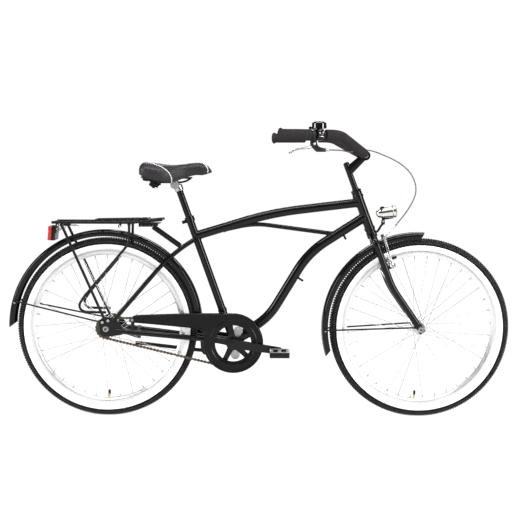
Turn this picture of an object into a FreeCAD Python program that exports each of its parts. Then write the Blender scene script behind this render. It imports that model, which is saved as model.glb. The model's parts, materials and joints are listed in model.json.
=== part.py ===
import FreeCAD, Part
import math
import os
from FreeCAD import Vector, Rotation, Placement

# Beach cruiser bicycle, 26 inch wheels, real size in millimetres.
# +X points forward, +Z up, the chain side is -Y, the ground is Z = 0.
# Lengths along the bicycle are written from the rear axle and moved by shift_x.

os.makedirs("parts", exist_ok=True)
doc = FreeCAD.newDocument("BeachCruiser")
sheet = doc.addObject("Spreadsheet::Sheet", "Params")

SIZES = [
    ("shift_x", -557.22),
    # wheels
    ("axle_height", 329.5), ("wheelbase", 1149.0),
    ("tyre_major", 304.5), ("tyre_section", 25.0), ("tyre_cavity", 21.6),
    ("tyre_seat_radius", 288.0), ("tyre_seat_width", 26.0),
    ("rim_flange", 286.0), ("rim_bed", 280.0), ("rim_waist", 275.0), ("rim_inner", 266.0),
    ("rim_half", 12.5), ("rim_bed_half", 11.0), ("rim_inner_half", 7.5),
    ("spoke_radius", 1.0), ("spoke_end", 269.0), ("spoke_step", 2.4),
    ("valve_radius", 3.6), ("valve_length", 32.0),
    ("front_flange_radius", 23.0), ("front_flange_y", 32.0), ("front_barrel", 14.0), ("front_hub_half", 47.0),
    ("rear_flange_radius", 33.0), ("rear_flange_y", 27.0), ("rear_barrel", 27.0), ("rear_hub_left", 46.0),
    ("rear_hub_right", 38.0),
    ("axle_radius", 4.8), ("axle_end", 4.6), ("axle_bore", 4.85), ("front_axle_half", 70.0), ("rear_axle_half", 82.0),
    ("nut_circum", 9.6), ("nut_height", 10.0),
    # frame
    ("bb_x", 464.0), ("bb_z", 277.0), ("bb_shell_radius", 20.0), ("bb_shell_bore", 17.2), ("bb_half", 34.0),
    ("bb_flange", 19.5), ("bb_flange_width", 4.0), ("spindle_bore", 8.56), ("spindle_radius", 8.5),
    ("seat_lean", 19.73), ("seat_top_z", 736.0), ("seat_tube_radius", 14.3), ("seat_tube_bore", 12.78),
    ("head_lean", 20.53), ("head_ref_x", 936.3), ("head_ref_z", 766.4),
    ("head_bottom_z", 700.0), ("head_top_z", 808.0), ("head_radius", 17.5), ("head_bore", 15.0),
    ("top_tube_radius", 16.5), ("brace_radius", 8.0), ("down_tube_radius", 18.0),
    ("chain_stay_radius", 9.5), ("seat_stay_radius", 8.0), ("bridge_radius", 5.0),
    ("dropout_inner", 58.0), ("dropout_thick", 6.0),
    ("cup_radius", 20.0), ("cup_bore", 13.6), ("cup_height", 13.0), ("cup_skirt", 8.0),
    # seat
    ("collar_radius", 18.0), ("collar_height", 15.0), ("post_radius", 12.7), ("post_top_z", 852.0),
    ("post_bottom_z", 590.0), ("rail_radius", 3.5), ("cushion_height", 56.0), ("skirt_drop", 18.0), ("base_height", 6.0),
    ("elastomer_radius", 17.0), ("elastomer_height", 33.0),
    # fork and bars
    ("steerer_radius", 12.7), ("steerer_bore", 11.3), ("blade_radius", 12.7), ("crown_radius", 19.0),
    ("blade_y", 53.0), ("tip_thick", 6.0), ("quill_radius", 11.1), ("bar_radius", 11.1), ("bar_bore", 11.16),
    ("clamp_radius", 18.0), ("clamp_half", 21.0), ("sleeve_radius", 18.0), ("grip_flange", 20.5),
    ("grip_flange_width", 7.0),
    # brake
    ("arm_length", 118.0), ("arm_depth", 11.0), ("arm_width", 11.0), ("cable_radius", 2.5), ("wire_radius", 0.9),
    ("noodle_radius", 2.4),
    # fenders and rack
    ("fender_radius", 358.0), ("front_fender_radius", 354.5), ("fender_half", 29.0), ("fender_skirt", 21.0), ("fender_wall", 1.6),
    ("stay_radius", 3.0), ("rack_rod", 5.0), ("rack_cross", 4.0), ("clip_rod", 3.0), ("strut_thick", 2.5),
    # drive
    ("chain_line", 45.0), ("ring_teeth", 46.0), ("sprocket_teeth", 18.0), ("ring_pitch_radius", 93.05),
    ("sprocket_pitch_radius", 36.57), ("tooth_gap", 4.3), ("tooth_height", 2.0), ("tooth_thick", 2.8),
    ("ring_inside", 70.0), ("roller_radius", 3.5), ("plate_half", 4.1), ("plate_thick", 1.0), ("plate_gap", 2.7),
    ("guard_radius", 110.0), ("guard_hole", 66.0), ("guard_inner", 50.5), ("guard_outer", 62.0), ("guard_wall", 2.2),
    ("crank_length", 170.0), ("crank_drop", 8.5), ("crank_inner", 64.0), ("crank_thick", 13.0),
    ("pedal_axle", 5.0), ("pedal_bore", 5.06), ("pedal_inner", 82.0), ("pedal_outer", 172.0), ("pedal_long", 72.0),
    ("pedal_high", 21.0),
    # kickstand and small parts
    ("kick_radius", 7.0), ("bell_radius", 25.0), ("bell_height", 24.0), ("lamp_length", 76.0), ("lamp_radius", 22.5),
]
value = {}
for row, (alias, number) in enumerate(SIZES, start=1):
    sheet.set("A%d" % row, alias.replace("_", " "))
    sheet.set("B%d" % row, repr(number))
    sheet.setAlias("B%d" % row, alias)
    value[alias] = number
doc.recompute()


class Size:
    """A number together with the named sizes that give it."""

    def __init__(self, number, text):
        self.number, self.text = number, text

    def __float__(self):
        return float(self.number)

    def join(self, other, sign, number):
        return Size(number, "(%s %s %s)" % (self.text, sign, text_of(other)))

    def __add__(self, other):
        return self.join(other, "+", self.number + float(other))

    def __sub__(self, other):
        return self.join(other, "-", self.number - float(other))

    def __mul__(self, other):
        return self.join(other, "*", self.number * float(other))

    def __truediv__(self, other):
        return self.join(other, "/", self.number / float(other))

    def __neg__(self):
        return Size(-self.number, "(0 - %s)" % self.text)


def text_of(thing):
    return thing.text if isinstance(thing, Size) else repr(float(thing))


def p(alias):
    return Size(value[alias], "Params." + alias)


def bind(obj, prop, size):
    if isinstance(size, Size):
        obj.setExpression(prop, size.text)
    else:
        setattr(obj, prop, size)


XS = value["shift_x"]
AZ = value["axle_height"]
WB = value["wheelbase"]
NODES = []
serial = [0]
Y_AXIS = Vector(0, 1, 0)


def new(kind, hint):
    serial[0] += 1
    return doc.addObject(kind, "%s_%d" % (hint, serial[0]))


def V(x, y, z):
    return Vector(float(x) + XS, float(y), float(z))


def node(obj, name):
    obj.Label = name
    NODES.append(obj)
    return obj


def rod(radius, start, end):
    c = new("Part::Cylinder", "rod")
    bind(c, "Radius", radius)
    c.Height = (end - start).Length
    c.Placement = Placement(start, Rotation(Vector(0, 0, 1), end - start))
    return c


def box(x0, x1, y0, y1, z0, z1):
    b = new("Part::Box", "block")
    b.Length, b.Width, b.Height = x1 - x0, y1 - y0, z1 - z0
    b.Placement = Placement(V(x0, y0, z0), Rotation())
    return b


def slab(length, width, height, centre, xdir, zdir):
    """A block centred on a point, with its length along xdir and height along zdir."""
    b = new("Part::Box", "slab")
    bind(b, "Length", length)
    bind(b, "Width", width)
    bind(b, "Height", height)
    xd = Vector(xdir).normalize()
    zd = Vector(zdir)
    zd = (zd - xd * zd.dot(xd)).normalize()
    yd = zd.cross(xd)
    rot = Rotation(xd, yd, zd, "XYZ")
    half = rot.multVec(Vector(float(length) / 2, float(width) / 2, float(height) / 2))
    b.Placement = Placement(centre - half, rot)
    return b


def cut(base, *tools):
    out = base
    for t in tools:
        c = new("Part::Cut", "cut")
        c.Base, c.Tool = out, t
        out = c
    return out


def fuse(*shapes):
    f = new("Part::MultiFuse", "fuse")
    f.Shapes = list(shapes)
    return f


def group(*shapes):
    g = new("Part::Compound", "group")
    g.Links = list(shapes)
    return g


def tube(outer, inner, start, end):
    return cut(rod(outer, start, end), rod(inner, start, end))


def route(points, radii):
    """Straight runs joined by tangent arcs: one radius for every inner point."""
    edges = []
    here = points[0]
    for i in range(1, len(points) - 1):
        a = (points[i - 1] - points[i]).normalize()
        b = (points[i + 1] - points[i]).normalize()
        turn = math.pi - a.getAngle(b)
        reach = radii[i - 1] * math.tan(turn / 2)
        t1 = points[i] + a * reach
        t2 = points[i] + b * reach
        mid = (a + b).normalize()
        centre = points[i] + mid * (radii[i - 1] / math.cos(turn / 2))
        arc_mid = centre - mid * radii[i - 1]
        if (t1 - here).Length > 1e-4:
            edges.append(Part.LineSegment(here, t1).toShape())
        edges.append(Part.Arc(t1, arc_mid, t2).toShape())
        here = t2
    edges.append(Part.LineSegment(here, points[-1]).toShape())
    return Part.Wire(edges)


def pipe(radius, points, radii):
    path = new("Part::Feature", "path")
    path.Shape = route(points, radii)
    ring = new("Part::Circle", "section")
    bind(ring, "Radius", radius)
    ring.Placement = Placement(points[0], Rotation(Vector(0, 0, 1), points[1] - points[0]))
    s = new("Part::Sweep", "pipe")
    s.Sections = [ring]
    s.Spine = (path, ["Edge%d" % (i + 1) for i in range(len(path.Shape.Edges))])
    s.Solid = True
    s.Frenet = False
    return s


def body(hint, placement):
    b = new("PartDesign::Body", hint)
    b.Placement = placement
    return b


def plane(b, role):
    return [f for f in b.Origin.OriginFeatures if f.Role == role][0]


def sketch(b, role):
    serial[0] += 1
    sk = b.newObject("Sketcher::SketchObject", "sketch_%d" % serial[0])
    sk.AttachmentSupport = (plane(b, role), "")
    sk.MapMode = "FlatFace"
    return sk


def sketch_polygon(b, role, corners):
    """A closed polygon whose corners are fixed from the sketch origin, by a named size where one is given."""
    import Sketcher
    sk = sketch(b, role)
    n = len(corners)
    pts = [Vector(float(x), float(y), 0) for x, y in corners]
    for i in range(n):
        sk.addGeometry(Part.LineSegment(pts[i], pts[(i + 1) % n]), False)
    for i in range(n):
        sk.addConstraint(Sketcher.Constraint("Coincident", i, 2, (i + 1) % n, 1))
    for i, (x, y) in enumerate(corners):
        for kind, axis, size in (("DistanceX", -2, x), ("DistanceY", -1, y)):
            if abs(float(size)) < 1e-9:
                sk.addConstraint(Sketcher.Constraint("PointOnObject", i, 1, axis))
            else:
                k = sk.addConstraint(Sketcher.Constraint(kind, -1, 1, i, 1, float(size)))
                if isinstance(size, Size):
                    sk.setExpression("Constraints[%d]" % k, size.text)
    return sk


def sketch_circles(b, role, circles):
    import Sketcher
    sk = sketch(b, role)
    for i, (x, y, r) in enumerate(circles):
        sk.addGeometry(Part.Circle(Vector(float(x), float(y), 0), Vector(0, 0, 1), float(r)), False)
        for kind, axis, size in (("DistanceX", -2, x), ("DistanceY", -1, y)):
            if abs(float(size)) < 1e-9:
                sk.addConstraint(Sketcher.Constraint("PointOnObject", i, 3, axis))
            else:
                k = sk.addConstraint(Sketcher.Constraint(kind, -1, 1, i, 3, float(size)))
                if isinstance(size, Size):
                    sk.setExpression("Constraints[%d]" % k, size.text)
        k = sk.addConstraint(Sketcher.Constraint("Radius", i, float(r)))
        if isinstance(r, Size):
            sk.setExpression("Constraints[%d]" % k, r.text)
    return sk


def feature(b, kind, sk):
    serial[0] += 1
    f = b.newObject(kind, "%s_%d" % (kind.split("::")[1], serial[0]))
    f.Profile = sk
    return f


def pad(b, sk, length, both=False, back=False):
    f = feature(b, "PartDesign::Pad", sk)
    bind(f, "Length", length)
    f.Midplane = both
    f.Reversed = back
    return f


def pocket(b, sk, length, both=False, back=False):
    f = feature(b, "PartDesign::Pocket", sk)
    bind(f, "Length", length)
    f.Midplane = both
    f.Reversed = back
    return f


def spin(b, sk, angle=360.0):
    f = feature(b, "PartDesign::Revolution", sk)
    f.ReferenceAxis = (sk, ["V_Axis"])
    f.Angle = angle
    return f


def ring_copies(b, what, count):
    serial[0] += 1
    f = b.newObject("PartDesign::PolarPattern", "copies_%d" % serial[0])
    f.Originals = [what]
    axis = [o for o in b.Origin.OriginFeatures if o.Role == "Z_Axis"][0]
    f.Axis = (axis, [""])
    f.Angle = 360.0
    f.Occurrences = count
    b.Tip = f
    return f


def turned(corners, base, direction):
    """A body turned from (radius, height) corners about the given axis."""
    b = body("turned", Placement(base, Rotation(Vector(0, 0, 1), direction)))
    spin(b, sketch_polygon(b, "XZ_Plane", corners))
    return b


def plate(corners, y_near, thick, holes=()):
    """A flat plate across the bicycle: corners in (X, Z) from the rear axle, y_near to y_near - thick."""
    b = body("plate", Placement(Vector(XS, float(y_near), 0), Rotation()))
    pad(b, sketch_polygon(b, "XZ_Plane", corners), thick)
    if holes:
        pocket(b, sketch_circles(b, "XZ_Plane", holes), 200.0, both=True)
    return b


def hexagon(circum, height, start, direction):
    h = new("Part::Prism", "hexagon")
    h.Polygon = 6
    bind(h, "Circumradius", circum)
    bind(h, "Height", height)
    h.Placement = Placement(start, Rotation(Vector(0, 0, 1), direction))
    return h


# ---------------------------------------------------------------- frame lines
seat_t = math.tan(math.radians(value["seat_lean"]))
head_t = math.tan(math.radians(value["head_lean"]))
BB = V(value["bb_x"], 0, value["bb_z"])
REAR = V(0, 0, AZ)
FRONT = V(WB, 0, AZ)


def seat_at(z):
    return V(value["bb_x"] - seat_t * (z - value["bb_z"]), 0, z)


def head_at(z):
    return V(value["head_ref_x"] - head_t * (z - value["head_ref_z"]), 0, z)


UP = Vector(-math.sin(math.radians(value["head_lean"])), 0, math.cos(math.radians(value["head_lean"])))
FWD = Vector(UP.z, 0, -UP.x)
POST = Vector(-math.sin(math.radians(value["seat_lean"])), 0, math.cos(math.radians(value["seat_lean"])))


def side(v, sign):
    return Vector(v.x, sign * v.y, v.z)


# solid cylinders used to mitre the tubes against each other
def head_solid():
    return rod(p("head_radius"), head_at(value["head_bottom_z"]), head_at(value["head_top_z"]))


def seat_solid():
    return rod(p("seat_tube_radius"), BB, seat_at(value["seat_top_z"]))


def shell_solid():
    return rod(p("bb_shell_radius"), BB + Vector(0, -34, 0), BB + Vector(0, 34, 0))


# head tube
node(tube(p("head_radius"), p("head_bore"), head_at(value["head_bottom_z"]), head_at(value["head_top_z"])), "head_tube")

# top tube and the thin brace under it
top_pts = [head_at(791.0), V(601.0, 0, 751.0), V(323.5, 0, 665.6)]
top_raw = pipe(p("top_tube_radius"), top_pts, [1200.0])
top_tool = pipe(p("top_tube_radius"), top_pts, [1200.0])
down_pts = [head_at(739.6), V(739.3, 0, 606.6), V(596.8, 0, 370.7), BB]
down_raw = pipe(p("down_tube_radius"), down_pts, [330.0, 230.0])
down_tool = pipe(p("down_tube_radius"), down_pts, [330.0, 230.0])
head_long = rod(p("head_radius"), head_at(690.0), head_at(850.0))
cup_room = rod(p("cup_radius"), head_at(value["head_top_z"]), head_at(value["head_top_z"] + 40.0))
top_tube = cut(top_raw, head_long, cup_room, seat_solid())
brace_raw = pipe(p("brace_radius"), [V(852.0, 0, 672.8), V(540.0, 0, 713.3), V(418.0, 0, 686.5)], [300.0])
brace = cut(brace_raw, top_tool, down_tool)
node(group(top_tube, brace), "top_tube")

# down tube with its two small cable bosses on the underside
down = cut(down_raw, head_solid(), shell_solid(), seat_solid())
boss_a = rod(4.0, V(703.0, 0, 512.0), V(712.0, 0, 506.0) + Vector(8, 0, -5))
boss_b = rod(4.0, V(868.0, 0, 668.0) + Vector(0, 0, 3), V(876.0, 0, 655.0))
node(fuse(down, boss_a, boss_b), "down_tube")

# seat tube, bored for the post
seat_bore = rod(p("seat_tube_bore"), seat_at(330.0), seat_at(value["seat_top_z"] + 5))
node(cut(seat_solid(), seat_bore, shell_solid()), "seat_tube")

# bottom bracket shell and its cups
node(tube(p("bb_shell_radius"), p("bb_shell_bore"), BB + Vector(0, -34, 0), BB + Vector(0, 34, 0)), "bottom_bracket_shell")
cup_corners = [(p("spindle_bore"), 12.0), (p("bb_shell_bore"), 12.0), (p("bb_shell_bore"), p("bb_half")),
               (p("bb_flange"), p("bb_half")), (p("bb_flange"), p("bb_half") + p("bb_flange_width")),
               (p("spindle_bore"), p("bb_half") + p("bb_flange_width"))]
node(group(turned(cup_corners, BB, Vector(0, -1, 0)), turned(cup_corners, BB, Vector(0, 1, 0))), "bottom_bracket_cups")

# rear dropouts
drop_corners = [(-20, 311), (-25, 350), (-16, 366), (16, 371), (42, 358), (62, 336), (60, 308), (22, 302), (-6, 302)]
drop_bolts = [(-11.0, 355.0), (10.0, 361.0)]
drop_holes = [(0, AZ, p("axle_bore"))] + [(x, z, 3.1) for x, z in drop_bolts]
drop_right = plate(drop_corners, -value["dropout_inner"], p("dropout_thick"), drop_holes)
drop_left = plate(drop_corners, value["dropout_inner"] + value["dropout_thick"], p("dropout_thick"), drop_holes)


def drop_tool(sign):
    y = -value["dropout_inner"] if sign < 0 else value["dropout_inner"] + value["dropout_thick"]
    return plate(drop_corners, y, p("dropout_thick"))


# chain stays, bridge and kickstand plate
stay_parts = []
for sign in (-1, 1):
    a = V(464.0, 20.0 * sign, 277.0)
    b = V(36.0, 64.7 * sign, 322.7)
    stay_parts.append(cut(rod(p("chain_stay_radius"), a, b), shell_solid(), drop_tool(sign)))
cs_right = rod(p("chain_stay_radius"), V(464, -20, 277), V(36, -64.7, 322.7))
cs_left = rod(p("chain_stay_radius"), V(464, 20, 277), V(36, 64.7, 322.7))
stay_parts.append(cut(rod(p("bridge_radius") + 1.5, V(378, -27, 286.2), V(378, 27, 286.2)), cs_right, cs_left))
# the kickstand turns on a pin that leans, so the leg swings down and out
kick_hinge = V(360, 44.4, 234)
kick_axis = Vector(-0.2248, 0.9470, 0.2287).normalize()
kick_plate = plate([(338, 286), (342, 232), (352, 220), (370, 220), (380, 232), (384, 286)], 37.0, 5.0)
stay_parts.append(cut(kick_plate, rod(p("chain_stay_radius"), V(464, 20, 277), V(36, 64.7, 322.7)),
                      rod(5.05, kick_hinge - kick_axis * 30.0, kick_hinge + kick_axis * 30.0)))
node(group(*(stay_parts + [drop_right, drop_left])), "chain_stays")

# seat stays and bridge
ss_pts = [V(322, 16, 654), V(234.5, 42, 599), V(28, 62.5, 360)]
ss_parts = []
for sign in (-1, 1):
    pts = [side(q, sign) for q in ss_pts]
    ss_parts.append(cut(pipe(p("seat_stay_radius"), pts, [500.0]), seat_solid(), drop_tool(sign),
                        rod(p("top_tube_radius"), top_pts[1], top_pts[2])))
bridge_tools = [pipe(p("seat_stay_radius"), [side(q, s) for q in ss_pts], [500.0]) for s in (-1, 1)]
ss_parts.append(cut(rod(p("bridge_radius"), V(247, -36, 602), V(247, 36, 602)), *bridge_tools))


# headset cups with ball rings, pressed into the head tube
low_cup = [(p("cup_bore"), -p("cup_height")), (18.0, -p("cup_height")), (p("cup_radius"), -p("cup_height") + 4.0), (p("cup_radius"), 0.0),
           (p("head_bore"), 0.0), (p("head_bore"), p("cup_skirt")), (p("cup_bore"), p("cup_skirt"))]
node(group(turned(low_cup, head_at(value["head_bottom_z"]), UP), turned(low_cup, head_at(value["head_top_z"]), -UP)), "headset_cups")

# seat clamp collar with a bolt behind
seat_top = seat_at(value["seat_top_z"])
collar = tube(p("collar_radius"), p("seat_tube_radius"), seat_top - POST * 19.0, seat_top)
ear = slab(16.0, 14.0, 12.0, seat_top - POST * 12.0 + Vector(-POST.z, 0, POST.x) * 22.0, Vector(POST.z, 0, -POST.x), POST)
collar = cut(fuse(collar, cut(ear, rod(p("seat_tube_radius"), seat_top - POST * 20, seat_top + POST * 20))),
             rod(3.05, seat_top - POST * 12.0 + Vector(-POST.z, 0, POST.x) * 24.0 + Vector(0, -30, 0),
                 seat_top - POST * 12.0 + Vector(-POST.z, 0, POST.x) * 24.0 + Vector(0, 30, 0)))
bolt_c = seat_top - POST * 12.0 + Vector(-POST.z, 0, POST.x) * 24.0
bolt = fuse(rod(3.0, bolt_c + Vector(0, -12, 0), bolt_c + Vector(0, 12, 0)), rod(5.5, bolt_c + Vector(0, -13, 0), bolt_c + Vector(0, -7, 0)),
            hexagon(5.5, 5.0, bolt_c + Vector(0, 7, 0), Y_AXIS))
node(group(collar, bolt), "seat_clamp")


# ---------------------------------------------------------------- fenders
def fender(radius, centre, first, span):
    half, skirt, wall = float(p("fender_half")), float(p("fender_skirt")), float(p("fender_wall"))
    prof = [(-half, -skirt), (-half, -skirt * 0.55), (-half * 0.86, -skirt * 0.26), (-half * 0.55, -skirt * 0.07), (0.0, 0.0)]
    prof = prof + [(-y, d) for y, d in reversed(prof[:-1])]
    inner = [(y * (half - wall) / half, d - wall) for y, d in reversed(prof)]
    inner[0] = (half - wall, -skirt)
    inner[-1] = (-half + wall, -skirt)
    corners = [(radius + d, y) for y, d in prof + inner]
    rot = Rotation(Vector(1, 0, 0), 90).multiply(Rotation(Vector(0, 0, 1), first))
    b = body("fender", Placement(centre, rot))
    spin(b, sketch_polygon(b, "XZ_Plane", corners), span)
    return b


rear_fender_c = V(-6.0, 0, AZ + 2.0)
rear_fender = fender(p("fender_radius"), rear_fender_c, 3.0, 178.0)
node(rear_fender, "rear_fender")
# a short bolt hangs the rear fender under the seat stay bridge
bolt_dir = (rear_fender_c - V(247, 0, 602)).normalize()
ss_parts.append(cut(rod(4.0, V(247, 0, 602), V(247, 0, 602) + bolt_dir * 12.9), rod(p("bridge_radius"), V(247, -36, 602), V(247, 36, 602)),
                    fender(p("fender_radius"), rear_fender_c, 3.0, 178.0)))
node(group(*ss_parts), "seat_stays")
front_fender_c = V(WB - 7.0, 0, AZ - 1.0)
front_fender = fender(p("front_fender_radius"), front_fender_c, 86.5, 111.0)
node(front_fender, "front_fender")

# wire stays, outside the skirts and bolted at the dropouts and fork tips
parts = []
for sign in (-1, 1):
    parts.append(cut(pipe(p("stay_radius"), [V(-11, 69.7 * sign, 353.8), V(-60, 65.7 * sign, 364.4), V(-318, 32.05 * sign, 422.0), V(-336, 32.05 * sign, 425.8)], [60.0, 60.0]),
                     rod(3.0, V(-11, 50.0 * sign, 355.0), V(-11, 90.0 * sign, 355.0))))
node(group(*parts), "rear_fender_stays")
parts = []
for sign in (-1, 1):
    parts.append(pipe(p("stay_radius"), [V(WB - 17, 64.7 * sign, 338.0), V(WB - 60, 61.7 * sign, 336.0), V(WB - 330, 32.05 * sign, 322.0), V(WB - 346, 32.05 * sign, 321.2)], [60.0, 60.0]))
node(group(*parts), "front_fender_stays")

# ---------------------------------------------------------------- luggage rack
rails = []
for sign in (-1, 1):
    rails.append(pipe(p("rack_rod"), [V(206, 46.0 * sign, 727), V(96, 60.0 * sign, 717), V(-193, 60.0 * sign, 717)], [120.0]))
tools = [pipe(p("rack_rod"), [V(206, 46.0 * s, 727), V(96, 60.0 * s, 717), V(-193, 60.0 * s, 717)], [120.0]) for s in (-1, 1)]
cross = []
for x, y, z in ((-187, 60, 717), (-110, 60, 717), (-20, 60, 717), (60, 60, 717), (201, 47, 726.5)):
    cross.append(cut(rod(p("rack_cross"), V(x, -y, z), V(x, y, z)), *tools))
plate_front = box(118, 196, -30, 30, 712, 714.5)
plate_front = cut(plate_front, *[rod(4.0, V(x, 0, 700), V(x, 0, 730)) for x in (132, 150, 168, 184)])
tie = cut(box(128, 140, -58, 58, 714.5, 717.5), *[pipe(p("rack_rod"), [V(206, 46.0 * s, 727), V(96, 60.0 * s, 717), V(-193, 60.0 * s, 717)], [120.0]) for s in (-1, 1)])
# two bored lugs on the tie carry the clip's hinge rod
lugs = [cut(box(128, 156, y, y + 3.0, 717.5, 732.0), rod(p("clip_rod") + 0.05, V(150, -50, 727.5), V(150, 50, 727.5))) for y in (-41.5, 38.5)]
# upright strips with four holes each hang from the front plate
strips = [cut(box(118, 184, y, y + 2.5, 700.5, 712.0), *[rod(3.4, V(x, -60, 706.0), V(x, 60, 706.0)) for x in (128, 142, 156, 170)]) for y in (-30.0, 27.5)]
node(group(*(rails + cross + [fuse(plate_front, *strips), tie] + lugs)), "rack_platform")

legs = []
for sign in (-1, 1):
    rail_tool = [rod(p("rack_rod"), V(-193, 60.0 * sign, 717), V(99, 60.0 * sign, 717)) for _ in (0, 1)]
    legs.append(cut(rod(p("rack_rod"), V(-159, 60.0 * sign, 711.6), V(-3, 75.0 * sign, 366)), rail_tool[0]))
    hooked = pipe(p("rack_rod") - 0.3, [V(87, 60.0 * sign, 711.6), V(86, 60.0 * sign, 641), V(-78, 60.2 * sign, 448), V(-108, 60.5 * sign, 400), V(-70, 61.5 * sign, 391), V(2, 63.0 * sign, 390)], [45.0, 60.0, 22.0, 60.0])
    legs.append(cut(hooked, rail_tool[1]))
    legs.append(cut(slab(120.0, p("strut_thick"), 12.0, V(219, 35.0 * sign, 663.5), Vector(93, 0, -66), Vector(0, 0, 1)),
                    pipe(p("seat_stay_radius"), [side(q, sign) for q in ss_pts], [500.0])))
node(group(*legs), "rack_legs")

# spring clip lying on the platform, hinged near its front
clip = []
for sign in (-1, 1):
    clip.append(cut(pipe(p("clip_rod"), [V(150, 34.0 * sign, 727.5), V(112, 34.0 * sign, 728.5), V(-40, 34.0 * sign, 725.6)], [150.0]),
                    rod(p("clip_rod"), V(150, -42.5, 727.5), V(150, 42.5, 727.5))))
clip.append(rod(p("clip_rod"), V(-37, -30.95, 725.7), V(-37, 30.95, 725.7)))
clip.append(rod(p("clip_rod"), V(150, -42.5, 727.5), V(150, 42.5, 727.5)))
node(group(*clip), "rack_spring_clip")

# tail light: housing and lens, on a bracket below the rear of the rack
lens = new("Part::Box", "lens")
lens.Length, lens.Width, lens.Height = 15, 84, 52
lens.Placement = Placement(V(-211.5, -42, 650), Rotation())
housing = box(-196.5, -184.5, -42, 42, 650, 702)
bracket = box(-184.5, -181.5, -30, 30, 676, 712.5)
node(group(lens, housing, bracket), "tail_light")

# ---------------------------------------------------------------- wheels


def wheel(prefix, centre, flange_r, flange_y, turn, valve_turn):
    torus = new("Part::Torus", "tyre")
    bind(torus, "Radius1", p("tyre_major"))
    bind(torus, "Radius2", p("tyre_section"))
    hollow = new("Part::Torus", "cavity")
    bind(hollow, "Radius1", p("tyre_major"))
    bind(hollow, "Radius2", p("tyre_cavity"))
    for t in (torus, hollow):
        t.Placement = Placement(centre, Rotation(Vector(0, 0, 1), Y_AXIS))
    seat = rod(p("tyre_seat_radius"), centre + Vector(0, -13, 0), centre + Vector(0, 13, 0))
    node(cut(torus, hollow, seat), prefix + "_tyre")
    rim_corners = [(p("rim_inner"), -p("rim_inner_half")), (p("rim_waist"), -p("rim_half")), (p("rim_flange"), -p("rim_half")),
                   (p("rim_flange"), -p("rim_bed_half")), (p("rim_bed"), -p("rim_bed_half")), (p("rim_bed"), p("rim_bed_half")),
                   (p("rim_flange"), p("rim_bed_half")), (p("rim_flange"), p("rim_half")), (p("rim_waist"), p("rim_half")),
                   (p("rim_inner"), p("rim_inner_half"))]
    rim = turned(rim_corners, centre, Y_AXIS)
    va = math.radians(valve_turn)
    out = Vector(math.cos(va), 0, math.sin(va))
    valve = cut(rod(p("valve_radius"), centre + out * (value["rim_inner"] - value["valve_length"] + 6), centre + out * (value["rim_inner"] + 3)),
                turned(rim_corners, centre, Y_AXIS))
    node(group(rim, valve), prefix + "_rim")
    # 36 tangent spokes, three-cross, the crossing sets kept a little apart
    made = []
    for s in (-1, 1):
        for k in range(18):
            ha = math.radians(20 * k + (10 if s > 0 else 0) + turn)
            lead = 1 if k % 2 == 0 else -1
            ra = ha + math.radians(60 * lead)
            y0 = s * (flange_y + lead * value["spoke_step"])
            a = centre + Vector(flange_r * math.cos(ha), y0, flange_r * math.sin(ha))
            b = centre + Vector(value["spoke_end"] * math.cos(ra), s * 2.0, value["spoke_end"] * math.sin(ra))
            made.append(Part.makeCylinder(value["spoke_radius"], (b - a).Length, a, b - a))
    spokes = new("Part::Feature", "spokes")
    spokes.Shape = Part.makeCompound(made)
    node(spokes, prefix + "_spokes")


wheel("front", FRONT, value["front_flange_radius"] - 3.5, value["front_flange_y"], 4.0, 267.0)
wheel("rear", REAR, value["rear_flange_radius"] - 3.5, value["rear_flange_y"], 0.0, 271.0)

fr, fy, fb, fh = p("front_flange_radius"), p("front_flange_y"), p("front_barrel"), p("front_hub_half")
front_hub = [(p("axle_bore"), -fh), (9.0, -fh), (9.0, -fy - 6.0), (fb, -fy - 1.5), (fr, -fy - 1.5), (fr, -fy + 1.5), (fb, -fy + 3.0),
             (fb - 2.0, 0.0), (fb, fy - 3.0), (fr, fy - 1.5), (fr, fy + 1.5), (fb, fy + 1.5), (9.0, fy + 6.0), (9.0, fh), (p("axle_bore"), fh)]
node(turned(front_hub, FRONT, Y_AXIS), "front_hub")
rr, ry, rb = p("rear_flange_radius"), p("rear_flange_y"), p("rear_barrel")
rear_hub = [(p("axle_bore"), -p("rear_hub_right")), (16.0, -p("rear_hub_right")), (20.0, -ry - 6.0), (rb - 3.0, -ry - 1.5), (rr, -ry - 1.5), (rr, -ry + 1.5), (rb - 3.0, -ry + 3.5),
            (rb, 0.0), (rb, ry - 3.5), (rr, ry - 1.5), (rr, ry + 1.5), (rb, ry + 1.5), (rb, p("rear_hub_left") - 4.0), (rb - 4.0, p("rear_hub_left")), (p("axle_bore"), p("rear_hub_left"))]
node(turned(rear_hub, REAR, Y_AXIS), "rear_hub")


def axle(centre, half, plain, inner_right, inner_left, washer_at):
    """Threaded middle with slimmer ends past the nuts, washers, nuts and inner cones."""
    made = [fuse(rod(p("axle_radius"), centre + Vector(0, -plain, 0), centre + Vector(0, plain, 0)),
                 rod(p("axle_end"), centre + Vector(0, -half, 0), centre + Vector(0, half, 0)))]
    for s in (-1, 1):
        inner = inner_right if s < 0 else inner_left
        d = Vector(0, s, 0)
        hole = rod(p("axle_radius"), centre - Vector(0, 100, 0), centre + Vector(0, 100, 0))
        made.append(cut(rod(10.5, centre + d * washer_at, centre + d * (washer_at + 2.0)), hole))
        hole = rod(p("axle_radius"), centre - Vector(0, 100, 0), centre + Vector(0, 100, 0))
        made.append(cut(hexagon(p("nut_circum"), p("nut_height"), centre + d * (washer_at + 2.0), d), hole))
        hole = rod(p("axle_radius"), centre - Vector(0, 100, 0), centre + Vector(0, 100, 0))
        made.append(cut(rod(8.5, centre + d * (inner + 0.3), centre + d * (washer_at - 6.0)), hole))
    return group(*made)


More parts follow.
